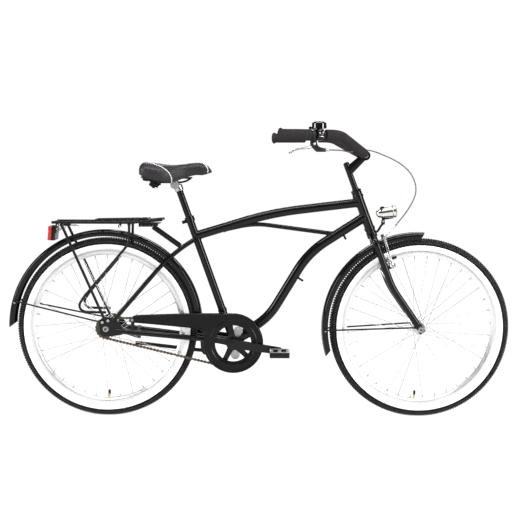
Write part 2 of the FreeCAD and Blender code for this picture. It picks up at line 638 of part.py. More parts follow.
node(axle(FRONT, value["front_axle_half"], 68.0, value["front_hub_half"], value["front_hub_half"], 56.0), "front_axle")
node(axle(REAR, value["rear_axle_half"], 76.0, 49.0, 51.4, 64.0), "rear_axle")

# coaster brake arm along the left side with a clip on the chain stay
arm_plate = plate([(-14, 322), (-14, 337), (0, 345), (14, 337), (40, 318), (112, 290), (116, 282), (108, 277), (30, 303), (0, 314)], 51.5, 3.0, [(0, AZ, p("axle_bore"))])
cs_dir = (V(464, 20, 277) - V(36, 64.7, 322.7)).normalize()
clip_c = V(36, 64.7, 322.7) + cs_dir * 75.0
strap = tube(12.0, p("chain_stay_radius"), clip_c - cs_dir * 6, clip_c + cs_dir * 6)
hanger = cut(box(104, 116, 51.6, 53.6, 279, 312), rod(12.0, clip_c - cs_dir * 14, clip_c + cs_dir * 14))
node(group(arm_plate, strap, hanger), "coaster_brake_arm")

# ---------------------------------------------------------------- drive train
cl = value["chain_line"]


def toothed(pitch_radius, teeth, inner, phase, centre):
    b = body("toothed", Placement(centre + Vector(0, -cl, 0), Rotation(Vector(1, 0, 0), 90).multiply(Rotation(Vector(0, 0, 1), phase))))
    pad(b, sketch_circles(b, "XY_Plane", [(0, 0, pitch_radius + p("tooth_height"))]), p("tooth_thick"), both=True)
    pocket(b, sketch_circles(b, "XY_Plane", [(0, 0, inner)]), 40.0, both=True)
    gap = pocket(b, sketch_circles(b, "XY_Plane", [(pitch_radius, 0, p("tooth_gap"))]), 40.0, both=True)
    ring_copies(b, gap, teeth)
    return b


# chain path: two arcs and two straight runs, seen from the chain side
r1, r2 = value["sprocket_pitch_radius"], value["ring_pitch_radius"]
c1, c2 = Vector(0, 0, AZ), Vector(value["bb_x"], 0, value["bb_z"])
along = c2 - c1
dist = along.Length
base_a = math.atan2(along.z, along.x)
tilt = math.acos((r1 - r2) / dist)
top_a, low_a = base_a + tilt, base_a - tilt


def on(c, r, a):
    return Vector(c.x + r * math.cos(a), 0, c.z + r * math.sin(a))


def chain_wire(extra, y):
    a1, a2 = r1 + extra, r2 + extra
    up1, up2, lo1, lo2 = on(c1, a1, top_a), on(c2, a2, top_a), on(c1, a1, low_a), on(c2, a2, low_a)
    back = on(c1, a1, base_a + math.pi)
    fore = on(c2, a2, base_a)
    sh = Vector(XS, y, 0)
    return Part.Wire([Part.LineSegment(up1 + sh, up2 + sh).toShape(), Part.Arc(up2 + sh, fore + sh, lo2 + sh).toShape(),
                      Part.LineSegment(lo2 + sh, lo1 + sh).toShape(), Part.Arc(lo1 + sh, back + sh, up1 + sh).toShape()])


straight = (on(c2, r2, top_a) - on(c1, r1, top_a)).Length
wrap2 = 2 * tilt
wrap1 = 2 * math.pi - 2 * tilt
total = 2 * straight + r2 * wrap2 + r1 * wrap1
pitch = 12.7


def chain_point(s):
    s = s % total
    if s < straight:
        f = s / straight
        return on(c1, r1, top_a) * (1 - f) + on(c2, r2, top_a) * f
    s -= straight
    if s < r2 * wrap2:
        return on(c2, r2, top_a - s / r2)
    s -= r2 * wrap2
    if s < straight:
        f = s / straight
        return on(c2, r2, low_a) * (1 - f) + on(c1, r1, low_a) * f
    s -= straight
    return on(c1, r1, low_a - s / r1)


chain_solids = []
gap, thick = value["plate_gap"], value["plate_thick"]
for y in (-cl - gap - thick, -cl + gap):
    outer_loop = Part.Face(chain_wire(value["plate_half"], y)).extrude(Vector(0, thick, 0))
    inner_loop = Part.Face(chain_wire(-value["plate_half"], y)).extrude(Vector(0, thick, 0))
    chain_solids.append(outer_loop.cut(inner_loop))
sh = Vector(XS, -cl, 0)
# rollers sit in the tooth gaps of both wheels and are spread evenly on the two straight runs
t2, t1 = 2 * math.pi / 46, 2 * math.pi / 18
k2, k1 = int(tilt / t2), int((math.pi - tilt) / t1)
on_ring = [straight + r2 * (top_a - base_a - k * t2) for k in range(k2, -k2 - 1, -1)]
on_sprocket = [2 * straight + r2 * wrap2 + r1 * (low_a - (base_a - math.pi) - k * t1) for k in range(k1, -k1 - 1, -1)]
spots = on_ring + on_sprocket
for a, b in ((on_ring[-1], on_sprocket[0]), (on_sprocket[-1], on_ring[0] + total)):
    n = round((b - a) / pitch)
    spots += [a + (b - a) * i / n for i in range(1, n)]
print("rollers", len(spots))
for s in spots:
    q = chain_point(s) + sh
    chain_solids.append(Part.makeCylinder(value["roller_radius"], 2 * gap, q + Vector(0, -gap, 0), Vector(0, 1, 0)))
chain = new("Part::Feature", "chain")
chain.Shape = Part.makeCompound(chain_solids)
node(chain, "chain")

# sprocket on its driver: one gap faces straight back, where a roller sits
sprocket = toothed(p("sprocket_pitch_radius"), 18, 12.0, math.degrees(base_a) + 180.0, REAR)
driver = cut(fuse(sprocket, rod(15.0, REAR + Vector(0, -48.6, 0), REAR + Vector(0, -38.4, 0))), rod(p("axle_bore"), REAR + Vector(0, -60, 0), REAR + Vector(0, -30, 0)))
node(driver, "rear_sprocket")
# one gap of the ring faces straight forward along the line of centres
ring = toothed(p("ring_pitch_radius"), 46, p("ring_inside"), math.degrees(base_a), BB)
# spider: hub disc and five tapered arms
spider = body("spider", Placement(BB + Vector(0, -46.45, 0), Rotation(Vector(1, 0, 0), 90).multiply(Rotation(Vector(0, 0, 1), 100.0 - 144.0))))
pad(spider, sketch_circles(spider, "XY_Plane", [(0, 0, 27.0)]), 5.0)
one_arm = pad(spider, sketch_polygon(spider, "XY_Plane", [(18.0, -13.0), (50.0, -9.5), (79.0, -9.5), (79.0, 9.5), (50.0, 9.5), (18.0, 13.0)]), 4.5)
ring_copies(spider, one_arm, 5)
hub_cut = pocket(spider, sketch_circles(spider, "XY_Plane", [(0, 0, p("spindle_radius") + 5.0)]), 60.0, both=True)
spider.Tip = hub_cut
node(group(ring, spider), "chainring")

# crank arms, spindle and pedal axles
drop_a = math.radians(value["crank_drop"])
fwd = Vector(math.cos(drop_a), 0, -math.sin(drop_a))
nrm = Vector(math.sin(drop_a), 0, math.cos(drop_a))
L = value["crank_length"]
crank_parts = []
spindle = rod(p("spindle_radius"), BB + Vector(0, -68, 0), BB + Vector(0, 68, 0))
crank_parts.append(spindle)
for s in (-1, 1):
    y_in = value["crank_inner"]
    d = fwd * (-s)
    rot = Rotation(d, nrm if s < 0 else nrm * -1, d.cross(nrm if s < 0 else nrm * -1), "XYZ")
    arm = body("crank", Placement(BB + Vector(0, s * (y_in + value["crank_thick"] / 2), 0), rot))
    pad(arm, sketch_polygon(arm, "XY_Plane", [(0.0, -15.0), (p("crank_length"), -10.5), (p("crank_length"), 10.5), (0.0, 15.0)]), p("crank_thick"), both=True)
    pad(arm, sketch_circles(arm, "XY_Plane", [(0, 0, 17.0)]), p("crank_thick"), both=True)
    pad(arm, sketch_circles(arm, "XY_Plane", [(p("crank_length"), 0, 13.0)]), p("crank_thick"), both=True)
    pieces = [arm]
    if s < 0:
        pieces.append(rod(p("spindle_radius") + 5.0, BB + Vector(0, -46.0, 0), BB + Vector(0, -66.0, 0)))
    else:
        pieces.append(rod(p("spindle_radius") + 5.0, BB + Vector(0, 54.0, 0), BB + Vector(0, 66.0, 0)))
    whole = cut(fuse(*pieces), rod(p("spindle_radius"), BB + Vector(0, -68, 0), BB + Vector(0, 68, 0)))
    end = BB + d * L
    ax = rod(p("pedal_axle"), end + Vector(0, s * 70, 0), end + Vector(0, s * 168, 0))
    whole = cut(whole, rod(p("pedal_axle"), end + Vector(0, s * 70, 0), end + Vector(0, s * 168, 0)))
    crank_parts += [whole, ax, rod(10.5, BB + Vector(0, s * 77.0, 0), BB + Vector(0, s * 79.5, 0))]
node(group(*crank_parts), "crank_arms")


def pedal(s, name):
    end = BB + fwd * (-s) * L
    mid_y = s * (value["pedal_inner"] + value["pedal_outer"]) / 2
    b = body("pedal", Placement(end + Vector(0, mid_y, 0), Rotation()))
    wide = p("pedal_outer") - p("pedal_inner")
    hl, hw = p("pedal_long") / 2, wide / 2
    pad(b, sketch_polygon(b, "XY_Plane", [(-hl, -hw + 8.0), (-hl + 6.0, -hw), (hl - 6.0, -hw), (hl, -hw + 8.0), (hl, hw - 8.0), (hl - 6.0, hw), (-hl + 6.0, hw), (-hl, hw - 8.0)]), p("pedal_high"), both=True)
    for sx in (-1, 1):
        x0, x1 = (10.5, 28.0) if sx > 0 else (-28.0, -10.5)
        pocket(b, sketch_polygon(b, "XY_Plane", [(x0, -hw + 11.0), (x1, -hw + 11.0), (x1, -5.0), (x0, -5.0)]), 60.0, both=True)
        pocket(b, sketch_polygon(b, "XY_Plane", [(x0, 5.0), (x1, 5.0), (x1, hw - 11.0), (x0, hw - 11.0)]), 60.0, both=True)
    bore = rod(p("pedal_bore"), end + Vector(0, s * 70, 0), end + Vector(0, s * 168.3, 0))
    node(cut(b, bore), name)


pedal(-1, "pedal_right")
pedal(1, "pedal_left")

# chain guard: an open-backed shell, a disc with a round hole and a tapered tail over the upper run
gx, gz, gr = value["bb_x"], value["bb_z"], value["guard_radius"]


def guard_outline(grow, y):
    r = gr + grow
    a_in = math.radians(164.0)
    tail = [(gx, gz + r), (285, 386.5 + grow), (108 - grow * 0.4, 378.5 + grow), (81 - grow, 356 - grow * 0.4), (112, 349 - grow), (229, 339 - grow), (322, 330 - grow), (gx + r * math.cos(a_in), gz + r * math.sin(a_in))]
    pts = [V(x, y, z) for x, z in tail]
    edges = [Part.LineSegment(a, b).toShape() for a, b in zip(pts, pts[1:])]
    edges.append(Part.Arc(pts[-1], V(gx + r * math.cos(math.radians(300)), y, gz + r * math.sin(math.radians(300))), pts[0]).toShape())
    return Part.Wire(edges)


gi, go, gw = value["guard_inner"], value["guard_outer"], value["guard_wall"]
solid = Part.Face(guard_outline(0.0, -go)).extrude(Vector(0, go - gi, 0))
hollow = Part.Face(guard_outline(-gw, -go + gw)).extrude(Vector(0, go - gi, 0))
hole = Part.makeCylinder(value["guard_hole"], 60, V(gx, -80, gz), Vector(0, 1, 0))
ridge = Part.makeCylinder(85.0, 1.6, V(gx, -go - 1.5, gz), Vector(0, 1, 0)).cut(Part.makeCylinder(81.0, 10, V(gx, -go - 5, gz), Vector(0, 1, 0)))
guard = new("Part::Feature", "guard")
guard.Shape = solid.cut(hollow).cut(hole).cut(Part.makeCylinder(2.6, 40, V(96, -80, 362), Vector(0, 1, 0))).fuse(ridge).cut(Part.makeBox(13.5, 3.0, 15.0, V(91, -59.9, 345))).removeSplitter()
node(guard, "chain_guard")

# guard brackets: tab on the chain stay, clip on the seat tube, lobed plate on the right bottom bracket cup
tab = cut(plate([(91.5, 320), (104, 320), (104, 366), (97, 366), (91.5, 361)], -57.2, 2.4), rod(p("chain_stay_radius"), V(464, -20, 277), V(36, -64.7, 322.7)), rod(2.6, V(96, -80, 362), V(96, -30, 362)))
clip_low = seat_at(386.0)
ring_clip = tube(16.5, p("seat_tube_radius"), clip_low, clip_low + POST * 12.0)
strip = cut(box(415, 429, -59.6, -12, 388, 390.5), rod(16.5, clip_low - POST * 5, clip_low + POST * 20))
lobes = body("lobes", Placement(BB + Vector(0, -38.0, 0), Rotation(Vector(1, 0, 0), -90)))
pad(lobes, sketch_circles(lobes, "XY_Plane", [(0, 0, 27.0)]), 2.2)
for a in (67.6, -80.8):
    ca, sa = math.cos(math.radians(a)), math.sin(math.radians(a))
    pad(lobes, sketch_circles(lobes, "XY_Plane", [(46.0 * ca, -46.0 * sa, 16.5)]), 2.2)
    pad(lobes, sketch_polygon(lobes, "XY_Plane", [(20 * ca - 13 * sa, -20 * sa - 13 * ca), (46 * ca - 16 * sa, -46 * sa - 16 * ca), (46 * ca + 16 * sa, -46 * sa + 16 * ca), (20 * ca + 13 * sa, -20 * sa + 13 * ca)]), 2.2)
pocket(lobes, sketch_circles(lobes, "XY_Plane", [(0, 0, p("bb_flange"))]), 40.0, both=True)
node(group(tab, ring_clip, strip, lobes), "chain_guard_brackets")

# bolts at the dropout eyelets and the guard screw
bolts = []
for s in (-1, 1):
    for x, z in drop_bolts:
        d = Vector(0, s, 0)
        bolts.append(fuse(rod(3.0, V(x, 56.0 * s, z), V(x, 76.0 * s, z)), hexagon(5.6, 4.5, V(x, 74.0 * s, z), d)))
screw = fuse(rod(2.5, V(96, -57.4, 362), V(96, -63, 362)), rod(5.0, V(96, -62.05, 362), V(96, -65, 362)))

# kickstand, folded back along the left chain stay
kick = fuse(rod(11.0, kick_hinge - kick_axis * 3.0, kick_hinge + kick_axis * 10.6),
            pipe(p("kick_radius"), [V(352, 45.0, 234), V(330, 45.6, 235.5), V(120, 52.0, 258.5), V(96, 56.0, 259.5)], [60.0, 40.0]))
kick = cut(kick, rod(5.05, kick_hinge - kick_axis * 30.0, kick_hinge + kick_axis * 30.0))
node(kick, "kickstand_leg")
kick_pin = fuse(rod(5.0, kick_hinge - kick_axis * 20.0, kick_hinge + kick_axis * 13.0), hexagon(7.0, 5.0, kick_hinge + kick_axis * 10.9, kick_axis),
                rod(8.0, kick_hinge - kick_axis * 22.0, kick_hinge - kick_axis * 17.0))
node(group(*(bolts + [screw, kick_pin])), "frame_bolts")

# ---------------------------------------------------------------- seat unit
post_top = seat_at(value["post_top_z"])
node(tube(p("post_radius"), p("post_radius") - 1.8, seat_at(value["post_bottom_z"]), post_top), "seatpost")

# saddle clamp: sleeve on the post and a cross bolt through two cheeks holding the rails
clamp_c = post_top + POST * -8.0
rail_z = 862.0
pin_c = V(249, 0, 853.8)
sleeve = cut(rod(16.5, post_top - POST * 22, post_top - POST * 1.5), rod(p("post_radius"), post_top - POST * 40, post_top + POST * 10))
cheeks = []
for s in (-1, 1):
    ck = rod(15.5, pin_c + Vector(0, 17.2 * s, 0), pin_c + Vector(0, 27.5 * s, 0))
    ck = cut(ck, rod(p("rail_radius") + 0.05, V(150, 22.0 * s, rail_z), V(330, 22.0 * s, rail_z)))
    cheeks.append(ck)
cross_bolt = rod(4.0, pin_c + Vector(0, -31, 0), pin_c + Vector(0, 31, 0))
cheeks = [cut(c, rod(4.0, pin_c + Vector(0, -31, 0), pin_c + Vector(0, 31, 0))) for c in cheeks]
nuts = [cut(hexagon(8.0, 6.0, pin_c + Vector(0, 27.5 * s, 0), Vector(0, s, 0)), rod(4.0, pin_c + Vector(0, -31, 0), pin_c + Vector(0, 31, 0))) for s in (-1, 1)]
sleeve = cut(sleeve, rod(4.0, pin_c + Vector(0, -31, 0), pin_c + Vector(0, 31, 0)))
post_cut = [cut(cross_bolt, rod(16.5, post_top - POST * 22, post_top + POST * 0.0))]
node(group(*([sleeve] + post_cut + cheeks + nuts)), "saddle_clamp")

rails_made = []
for s in (-1, 1):
    rails_made.append(pipe(p("rail_radius"), [V(306, 20.0 * s, 876.6), V(290, 22.0 * s, 866.5), V(272, 22.0 * s, rail_z), V(192, 22.0 * s, rail_z), V(150, 40.0 * s, 873), V(136, 46.0 * s, 873.5)], [30.0, 40.0, 40.0, 12.0]))
node(group(*rails_made), "saddle_rails")

# saddle outline seen from above, nose forward; the base sits just inside the cushion's foot
half = [(384, 0), (383, 9), (378, 19), (362, 25), (335, 29), (305, 34), (278, 45), (255, 62), (235, 80), (210, 95), (180, 104), (150, 105), (128, 98), (115, 80), (112, 45), (118, 0)]


def outline(shrink):
    cx = 240.0
    pts = [(cx + (x - cx) * (1 - shrink / 135.0), max(0.0, y - shrink) if y else 0.0) for x, y in half]
    return pts + [(x, -y) for x, y in reversed(pts[1:-1])]


cushion = body("cushion", Placement(Vector(XS, 0, 881.0), Rotation()))
pad(cushion, sketch_polygon(cushion, "XY_Plane", outline(0.0)), p("cushion_height"))
# the cover hangs below the base round the wings
skirt = body("skirt", Placement(Vector(XS, 0, 881.0), Rotation()))
pad(skirt, sketch_polygon(skirt, "XY_Plane", outline(0.0)), p("skirt_drop"), back=True)
pocket(skirt, sketch_polygon(skirt, "XY_Plane", outline(4.9)), 100.0, both=True)
skirt = cut(skirt, box(272, 400, -60, 60, 800, 900), box(100, 126, -120, 120, 800, 900))
node(fuse(cushion, skirt), "saddle_cushion")
base = body("saddle_base", Placement(Vector(XS, 0, 874.9), Rotation()))
pad(base, sketch_polygon(base, "XY_Plane", outline(5.0)), p("base_height"))
rail_tools = [pipe(p("rail_radius") + 0.05, [V(306.6, 19.93 * s, 876.98), V(290, 22.0 * s, 866.5), V(272, 22.0 * s, rail_z), V(192, 22.0 * s, rail_z), V(150, 40.0 * s, 873), V(130, 48.6 * s, 873.7)], [30.0, 40.0, 40.0, 12.0]) for s in (-1, 1)]
node(cut(base, box(314, 400, -60, 60, 860, 890), *rail_tools), "saddle_base")
springs = []
for s in (-1, 1):
    springs.append(cut(rod(p("elastomer_radius"), V(176, 58.0 * s, 874.9 - value["elastomer_height"]), V(176, 58.0 * s, 874.9)),
                       pipe(p("rail_radius") + 0.1, [V(230, 22.0 * s, rail_z), V(192, 22.0 * s, rail_z), V(150, 40.0 * s, 873), V(130, 48.6 * s, 873.7)], [40.0, 12.0])))
node(group(*springs), "saddle_elastomers")

# ---------------------------------------------------------------- steering unit
race_low = value["head_bottom_z"] - (value["cup_height"] + 0.4) * UP.z
crown_top = head_at(race_low) - UP * 4.0
steer_top = head_at(842.0)
steerer = tube(p("steerer_radius"), p("steerer_bore"), crown_top, steer_top)
crown = rod(p("crown_radius"), crown_top - UP * 22.0, crown_top)
bend = V(1043.0, 0, 482.0)
by = value["blade_y"]
tip_dir = (FRONT - bend).normalize()
blades = []
for s in (-1, 1):
    start = crown_top - UP * 10.0 + Vector(0, 8.0 * s, 0)
    shoulder = crown_top - UP * 34.0 + Vector(0, by * s, 0)
    b2 = bend + Vector(0, by * s, 0)
    low = FRONT - tip_dir * 20.0 + Vector(0, by * s, 0)
    raw = pipe(p("blade_radius"), [start, shoulder, b2, low], [34.0, 300.0])
    blades.append(cut(raw, rod(p("crown_radius"), crown_top - UP * 22.0, crown_top), rod(22.0, crown_top, crown_top + UP * 40.0)))
tips = []
tip_up = Vector(-tip_dir.z, 0, tip_dir.x)
for s in (-1, 1):
    flat = slab(44.0, p("tip_thick"), 24.0, FRONT + tip_dir * -8.0 + Vector(0, by * s, 0), tip_dir, tip_up)
    eye = slab(14.0, p("tip_thick"), 12.0, FRONT + Vector(-17, by * s, 8.5), Vector(1, 0, 0), Vector(0, 0, 1))
    t = fuse(flat, eye)
    raw = pipe(p("blade_radius"), [bend + Vector(0, by * s, 0), FRONT - tip_dir * 20.0 + Vector(0, by * s, 0)], [])
    t = cut(t, raw, rod(p("axle_bore"), FRONT + Vector(0, -80, 0), FRONT + Vector(0, 80, 0)))
    tips.append(t)

# headset: crown race below, adjusting race and lock nut above
up_cup = head_at(value["head_top_z"]) + UP * (value["cup_height"] + 0.4)
crown_race = tube(17.5, p("steerer_radius"), crown_top, crown_top + UP * 4.0)
top_race = tube(18.5, p("steerer_radius"), up_cup, up_cup + UP * 8.0)
lock = cut(hexagon(19.0, 8.0, up_cup + UP * 9.2, UP), rod(p("steerer_radius"), head_at(700), head_at(860)))
spacer = tube(16.5, p("steerer_radius"), up_cup + UP * 8.0, up_cup + UP * 9.2)
node(group(crown_race, top_race, spacer, lock), "headset_nuts")

# quill stem with a forward arm and a split bar clamp
clamp = V(943.0, 0, 962.0)
quill_top = head_at(934.0)
quill = rod(p("quill_radius"), head_at(760.0), quill_top)
arm_from = head_at(906.0)
arm_dir = (clamp - arm_from).normalize()
arm_up = Vector(-arm_dir.z, 0, arm_dir.x)


def rounded(c, w, t):
    """A rounded rectangle across the arm: t along arm_up, w across."""
    pts = []
    for i in range(24):
        a = 2 * math.pi * i / 24
        ca, sa = math.cos(a), math.sin(a)
        e = 0.5
        pts.append(c + Vector(0, 1, 0) * (w / 2 * math.copysign(abs(ca) ** e, ca)) + arm_up * (t / 2 * math.copysign(abs(sa) ** e, sa)))
    return Part.makePolygon(pts + [pts[0]])


arm_shape = new("Part::Feature", "stem_arm")
arm_shape.Shape = Part.makeLoft([rounded(arm_from, 24, 34), rounded(clamp, 24, 26)], True, True)
clamp_body = rod(p("clamp_radius"), clamp + Vector(0, -value["clamp_half"], 0), clamp + Vector(0, value["clamp_half"], 0))
cap = rod(8.0, quill_top, quill_top + UP * 3.0)
stem = cut(fuse(quill, arm_shape, clamp_body, cap), rod(p("bar_radius"), clamp + Vector(0, -60, 0), clamp + Vector(0, 60, 0)))
lug_dir = Vector(-1, 0, 0)
bolt_at = clamp + lug_dir * 24
pinch = fuse(rod(3.0, bolt_at + Vector(0, 0, -6), bolt_at + Vector(0, 0, 6)), rod(5.5, bolt_at + Vector(0, 0, 6), bolt_at + Vector(0, 0, 11)))
lug = slab(18.0, 20.0, 12.0, clamp + lug_dir * 21, lug_dir, Vector(0, 0, 1))
stem_all = cut(fuse(stem, lug), rod(p("bar_radius"), clamp + Vector(0, -60, 0), clamp + Vector(0, 60, 0)), rod(3.0, bolt_at + Vector(0, 0, -6), bolt_at + Vector(0, 0, 6)), rod(5.5, bolt_at + Vector(0, 0, 6), bolt_at + Vector(0, 0, 14)))
node(group(stem_all, pinch), "stem")

# swept handlebar, one bent tube
end_p, bend_p, neck_p = V(624.0, 300.0, 1031.0), V(835.0, 220.0, 1031.0), V(943.0, 42.0, 962.0)


bar_end = {-1: 634.0, 1: 620.0}


def on_grip(x, s):
    f = (x + XS - end_p.x) / (bend_p.x - end_p.x)
    return side(end_p + (bend_p - end_p) * f, s)


def bar_points(s):
    return [on_grip(bar_end[s], s), side(bend_p, s), side(neck_p, s)]


bar_pts = bar_points(-1) + list(reversed(bar_points(1)))
node(pipe(p("bar_radius"), bar_pts, [90.0, 55.0, 55.0, 90.0]), "handlebar")
grip_dir = (bend_p - end_p).normalize()

# foam: a long sleeve over each bend and a grip with a flanged end
neck_dir = (neck_p - bend_p).normalize()
foam = []
for s in (-1, 1):
    low_end = side(neck_p - neck_dir * 12.0, s)
    bar_tool = [pipe(p("bar_bore"), bar_pts, [90.0, 55.0, 55.0, 90.0]) for _ in (0, 1)]
    foam.append(cut(pipe(p("sleeve_radius"), [on_grip(785.0, s), side(bend_p, s), low_end], [90.0]), bar_tool[0]))
    g0 = bar_end[s] - 9.0
    g = fuse(rod(p("sleeve_radius"), on_grip(g0 + 3.0, s), on_grip(733.0, s)), rod(p("grip_flange"), on_grip(g0, s), on_grip(g0 + 6.5, s)))
    foam.append(cut(g, bar_tool[1]))
node(group(*foam), "foam_grips")

# bell: clamp ring on the bar, post, base disc; dome above; thumb lever between
bell_c = on_grip(762.0, -1)
bell_base = fuse(rod(15.5, bell_c - grip_dir.__class__(grip_dir.x, -grip_dir.y, 0) * 6.5, bell_c + Vector(grip_dir.x, -grip_dir.y, 0) * 6.5),
                 rod(8.0, bell_c, bell_c + Vector(0, 0, 17)), rod(15.0, bell_c + Vector(0, 0, 13.5), bell_c + Vector(0, 0, 18.2)),
                 rod(3.0, bell_c + Vector(0, 0, 17), bell_c + Vector(0, 0, 40)))
bell_base = cut(bell_base, pipe(p("bar_bore"), bar_pts, [90.0, 55.0, 55.0, 90.0]))
br, bh = p("bell_radius"), p("bell_height")
dome_outer = [(3.05, bh + 2.5), (3.05, bh - 0.5), (br * 0.45, bh - 1.6), (br * 0.78, bh - 5.2), (br * 0.93, bh - 11.0), (br - 1.6, 0.0), (br, 0.0),
              (br, bh - 10.6), (br * 0.86, bh - 3.2), (br * 0.5, bh + 0.4), (6.0, bh + 1.6), (6.0, bh + 2.5)]
dome = turned(dome_outer, bell_c + Vector(0, 0, 21.0), Vector(0, 0, 1))
node(group(bell_base, dome), "bell")
bell_pivot = bell_c + Vector(-16.0, -6.0, 18.6)
lever_plate = fuse(rod(4.5, bell_pivot, bell_pivot + Vector(0, 0, 2.0)), slab(15.0, 7.0, 2.0, bell_pivot + Vector(-6.5, 2.1, 1.0), Vector(-1, 0.33, 0), Vector(0, 0, 1)),
                   rod(5.5, bell_pivot + Vector(-14.5, 4.8, 0), bell_pivot + Vector(-14.5, 4.8, 8.0)))
node(lever_plate, "bell_lever")

# brake lever bracket on the right side, below the bar
lev_c = on_grip(740.0, -1)
rdir = Vector(grip_dir.x, -grip_dir.y, 0)
ldir = Vector(-grip_dir.y, -grip_dir.x, 0)
piv = lev_c + Vector(2.5, 0, -31.5)
brk = fuse(rod(16.0, lev_c - rdir * 6.0, lev_c + rdir * 6.0),
           slab(14.0, 13.0, 26.0, lev_c + Vector(0, 0, -22), rdir, Vector(0, 0, 1)),
           slab(40.0, 13.0, 13.0, lev_c + rdir * 26 + Vector(0, 0, -52.5), rdir, Vector(0, 0, 1)),
           slab(14.0, 13.0, 28.0, lev_c + rdir * 6 + Vector(0, 0, -41), rdir, Vector(0, 0, 1)))
brk = cut(brk, pipe(p("bar_bore"), bar_pts, [90.0, 55.0, 55.0, 90.0]))
blade_gap = slab(34.0, 6.6, 40.0, piv + rdir * -4 + Vector(0, 0, -6), rdir, Vector(0, 0, 1))
brk = cut(brk, blade_gap)
adj_from = lev_c + rdir * 46.0 + Vector(0, 0, -52.0)
adj = cut(fuse(rod(5.5, adj_from, adj_from + rdir * 8.0), rod(4.0, adj_from, adj_from + rdir * 15.0)), rod(2.56, adj_from - rdir * 2, adj_from + rdir * 30))
pin = rod(3.0, piv - ldir * 6.5, piv + ldir * 6.5)
brk = cut(brk, rod(3.0, piv - ldir * 20, piv + ldir * 20), rod(2.56, adj_from - rdir * 1.0, adj_from + rdir * 30))
node(group(brk, adj, pin), "brake_lever_bracket")

# brake lever blade, silver, reaching back under the grip
lever = fuse(rod(6.0, piv - ldir * 3.0, piv + ldir * 3.0),
             slab(28.0, 6.0, 11.0, piv + rdir * -9.0 + Vector(0, 0, -6.5), rdir + Vector(0, 0, 0.30), Vector(0, 0, 1)),
             slab(44.0, 10.0, 7.0, piv + rdir * -40.0 + Vector(0, 0, -15.0), rdir + Vector(0, 0, 0.12), Vector(0, 0, 1)),
             slab(34.0, 11.0, 5.0, piv + rdir * -72.0 + Vector(0, 0, -23.5), rdir + Vector(0, 0, 0.42), Vector(0, 0, 1)))
lever = cut(lever, rod(3.05, piv - ldir * 20, piv + ldir * 20))
node(lever, "brake_lever")

# linear-pull brake arms on bosses in front of the blades
arm_pivot = {}
pad_up = 21.4
axis_pt = head_at(552.0)
for s, name in ((-1, "brake_arm_right"), (1, "brake_arm_left")):
    pv = axis_pt + FWD * 28.0 + Vector(0, 41.0 * s, 0)
    arm_pivot[name] = pv
    lean = (UP + FWD * 0.075 + Vector(0, -0.02 * s, 0)).normalize()
    eye = rod(9.0, pv - FWD * 7.5, pv + FWD * 8.0)
    bar = slab(p("arm_length"), p("arm_width"), p("arm_depth"), pv + lean * (value["arm_length"] / 2 - 4.0), lean, FWD)
    pad_c = pv + UP * pad_up - FWD * 3.0
    post = rod(3.2, pad_c, pad_c + Vector(0, -22.0 * s, 0))
    nut = hexagon(6.0, 5.0, pad_c + Vector(0, 4.5 * s, 0), Vector(0, s, 0))
    shoe_c = Vector(pad_c.x, s * 18.2, pad_c.z)
    rvec = Vector(shoe_c.x - FRONT.x, 0, shoe_c.z - FRONT.z).normalize()
    tang = Vector(-rvec.z, 0, rvec.x)
    shoe = slab(62.0, 8.6, 7.0, shoe_c, tang, rvec)
    whole = fuse(eye, bar, post, nut, shoe)
    whole = cut(whole, rod(5.05, pv - FWD * 40, pv + FWD * 40))
    top = pv + lean * 109.0
    whole = cut(whole, rod(3.2, top + Vector(0, -20, 0), top + Vector(0, 20, 0)))
    node(whole, name)

# bosses with their bolts: pivots for the arms, brazed to the blades
boss = []
for s in (-1, 1):
    pv = arm_pivot["brake_arm_right" if s < 0 else "brake_arm_left"]
    post = rod(5.0, pv - FWD * 16.0, pv + FWD * 9.0)
    web = slab(15.0, 16.0, 14.0, pv - FWD * 15.5 + Vector(0, 5.0 * s, 0), FWD, UP)
    raw = pipe(p("blade_radius"), [crown_top - UP * 10.0 + Vector(0, 8.0 * s, 0), crown_top - UP * 34.0 + Vector(0, by * s, 0),
                                   bend + Vector(0, by * s, 0), FRONT - tip_dir * 20.0 + Vector(0, by * s, 0)], [34.0, 300.0])
    boss.append(cut(fuse(post, web, rod(7.0, pv + FWD * 8.4, pv + FWD * 11.5)), raw))
node(group(*([steerer, crown] + blades + tips + boss)), "fork")

# headlamp bracket from the fork crown, with a fork that holds the lamp's lug
lamp_pivot = V(1012.0, 0, 722.0)
crown_front = crown_top - UP * 11.0 + FWD * 19.0
lb = fuse(slab(26.0, 18.0, 3.0, crown_front + FWD * 8.0 + UP * 0.0, FWD, UP), slab(3.0, 18.0, 40.0, crown_front + FWD * 20.0 + UP * 18.5, FWD, UP))
knee = crown_front + FWD * 20.0 + UP * 38.0
lb2 = fuse(lb, rod(5.0, knee + Vector(0, -9, 0), knee + Vector(0, 9, 0)))
for s in (-1, 1):
    lb2 = fuse(lb2, slab((lamp_pivot - knee).Length + 8.0, 3.0, 9.0, (lamp_pivot + knee) * 0.5 + Vector(0, 7.0 * s, 0), lamp_pivot - knee, Vector(0, 0, 1)))
lb2 = fuse(lb2, rod(2.5, lamp_pivot + Vector(0, -11, 0), lamp_pivot + Vector(0, 11, 0)))
lamp_br = cut(lb2, rod(p("crown_radius"), crown_top - UP * 22.0, crown_top))
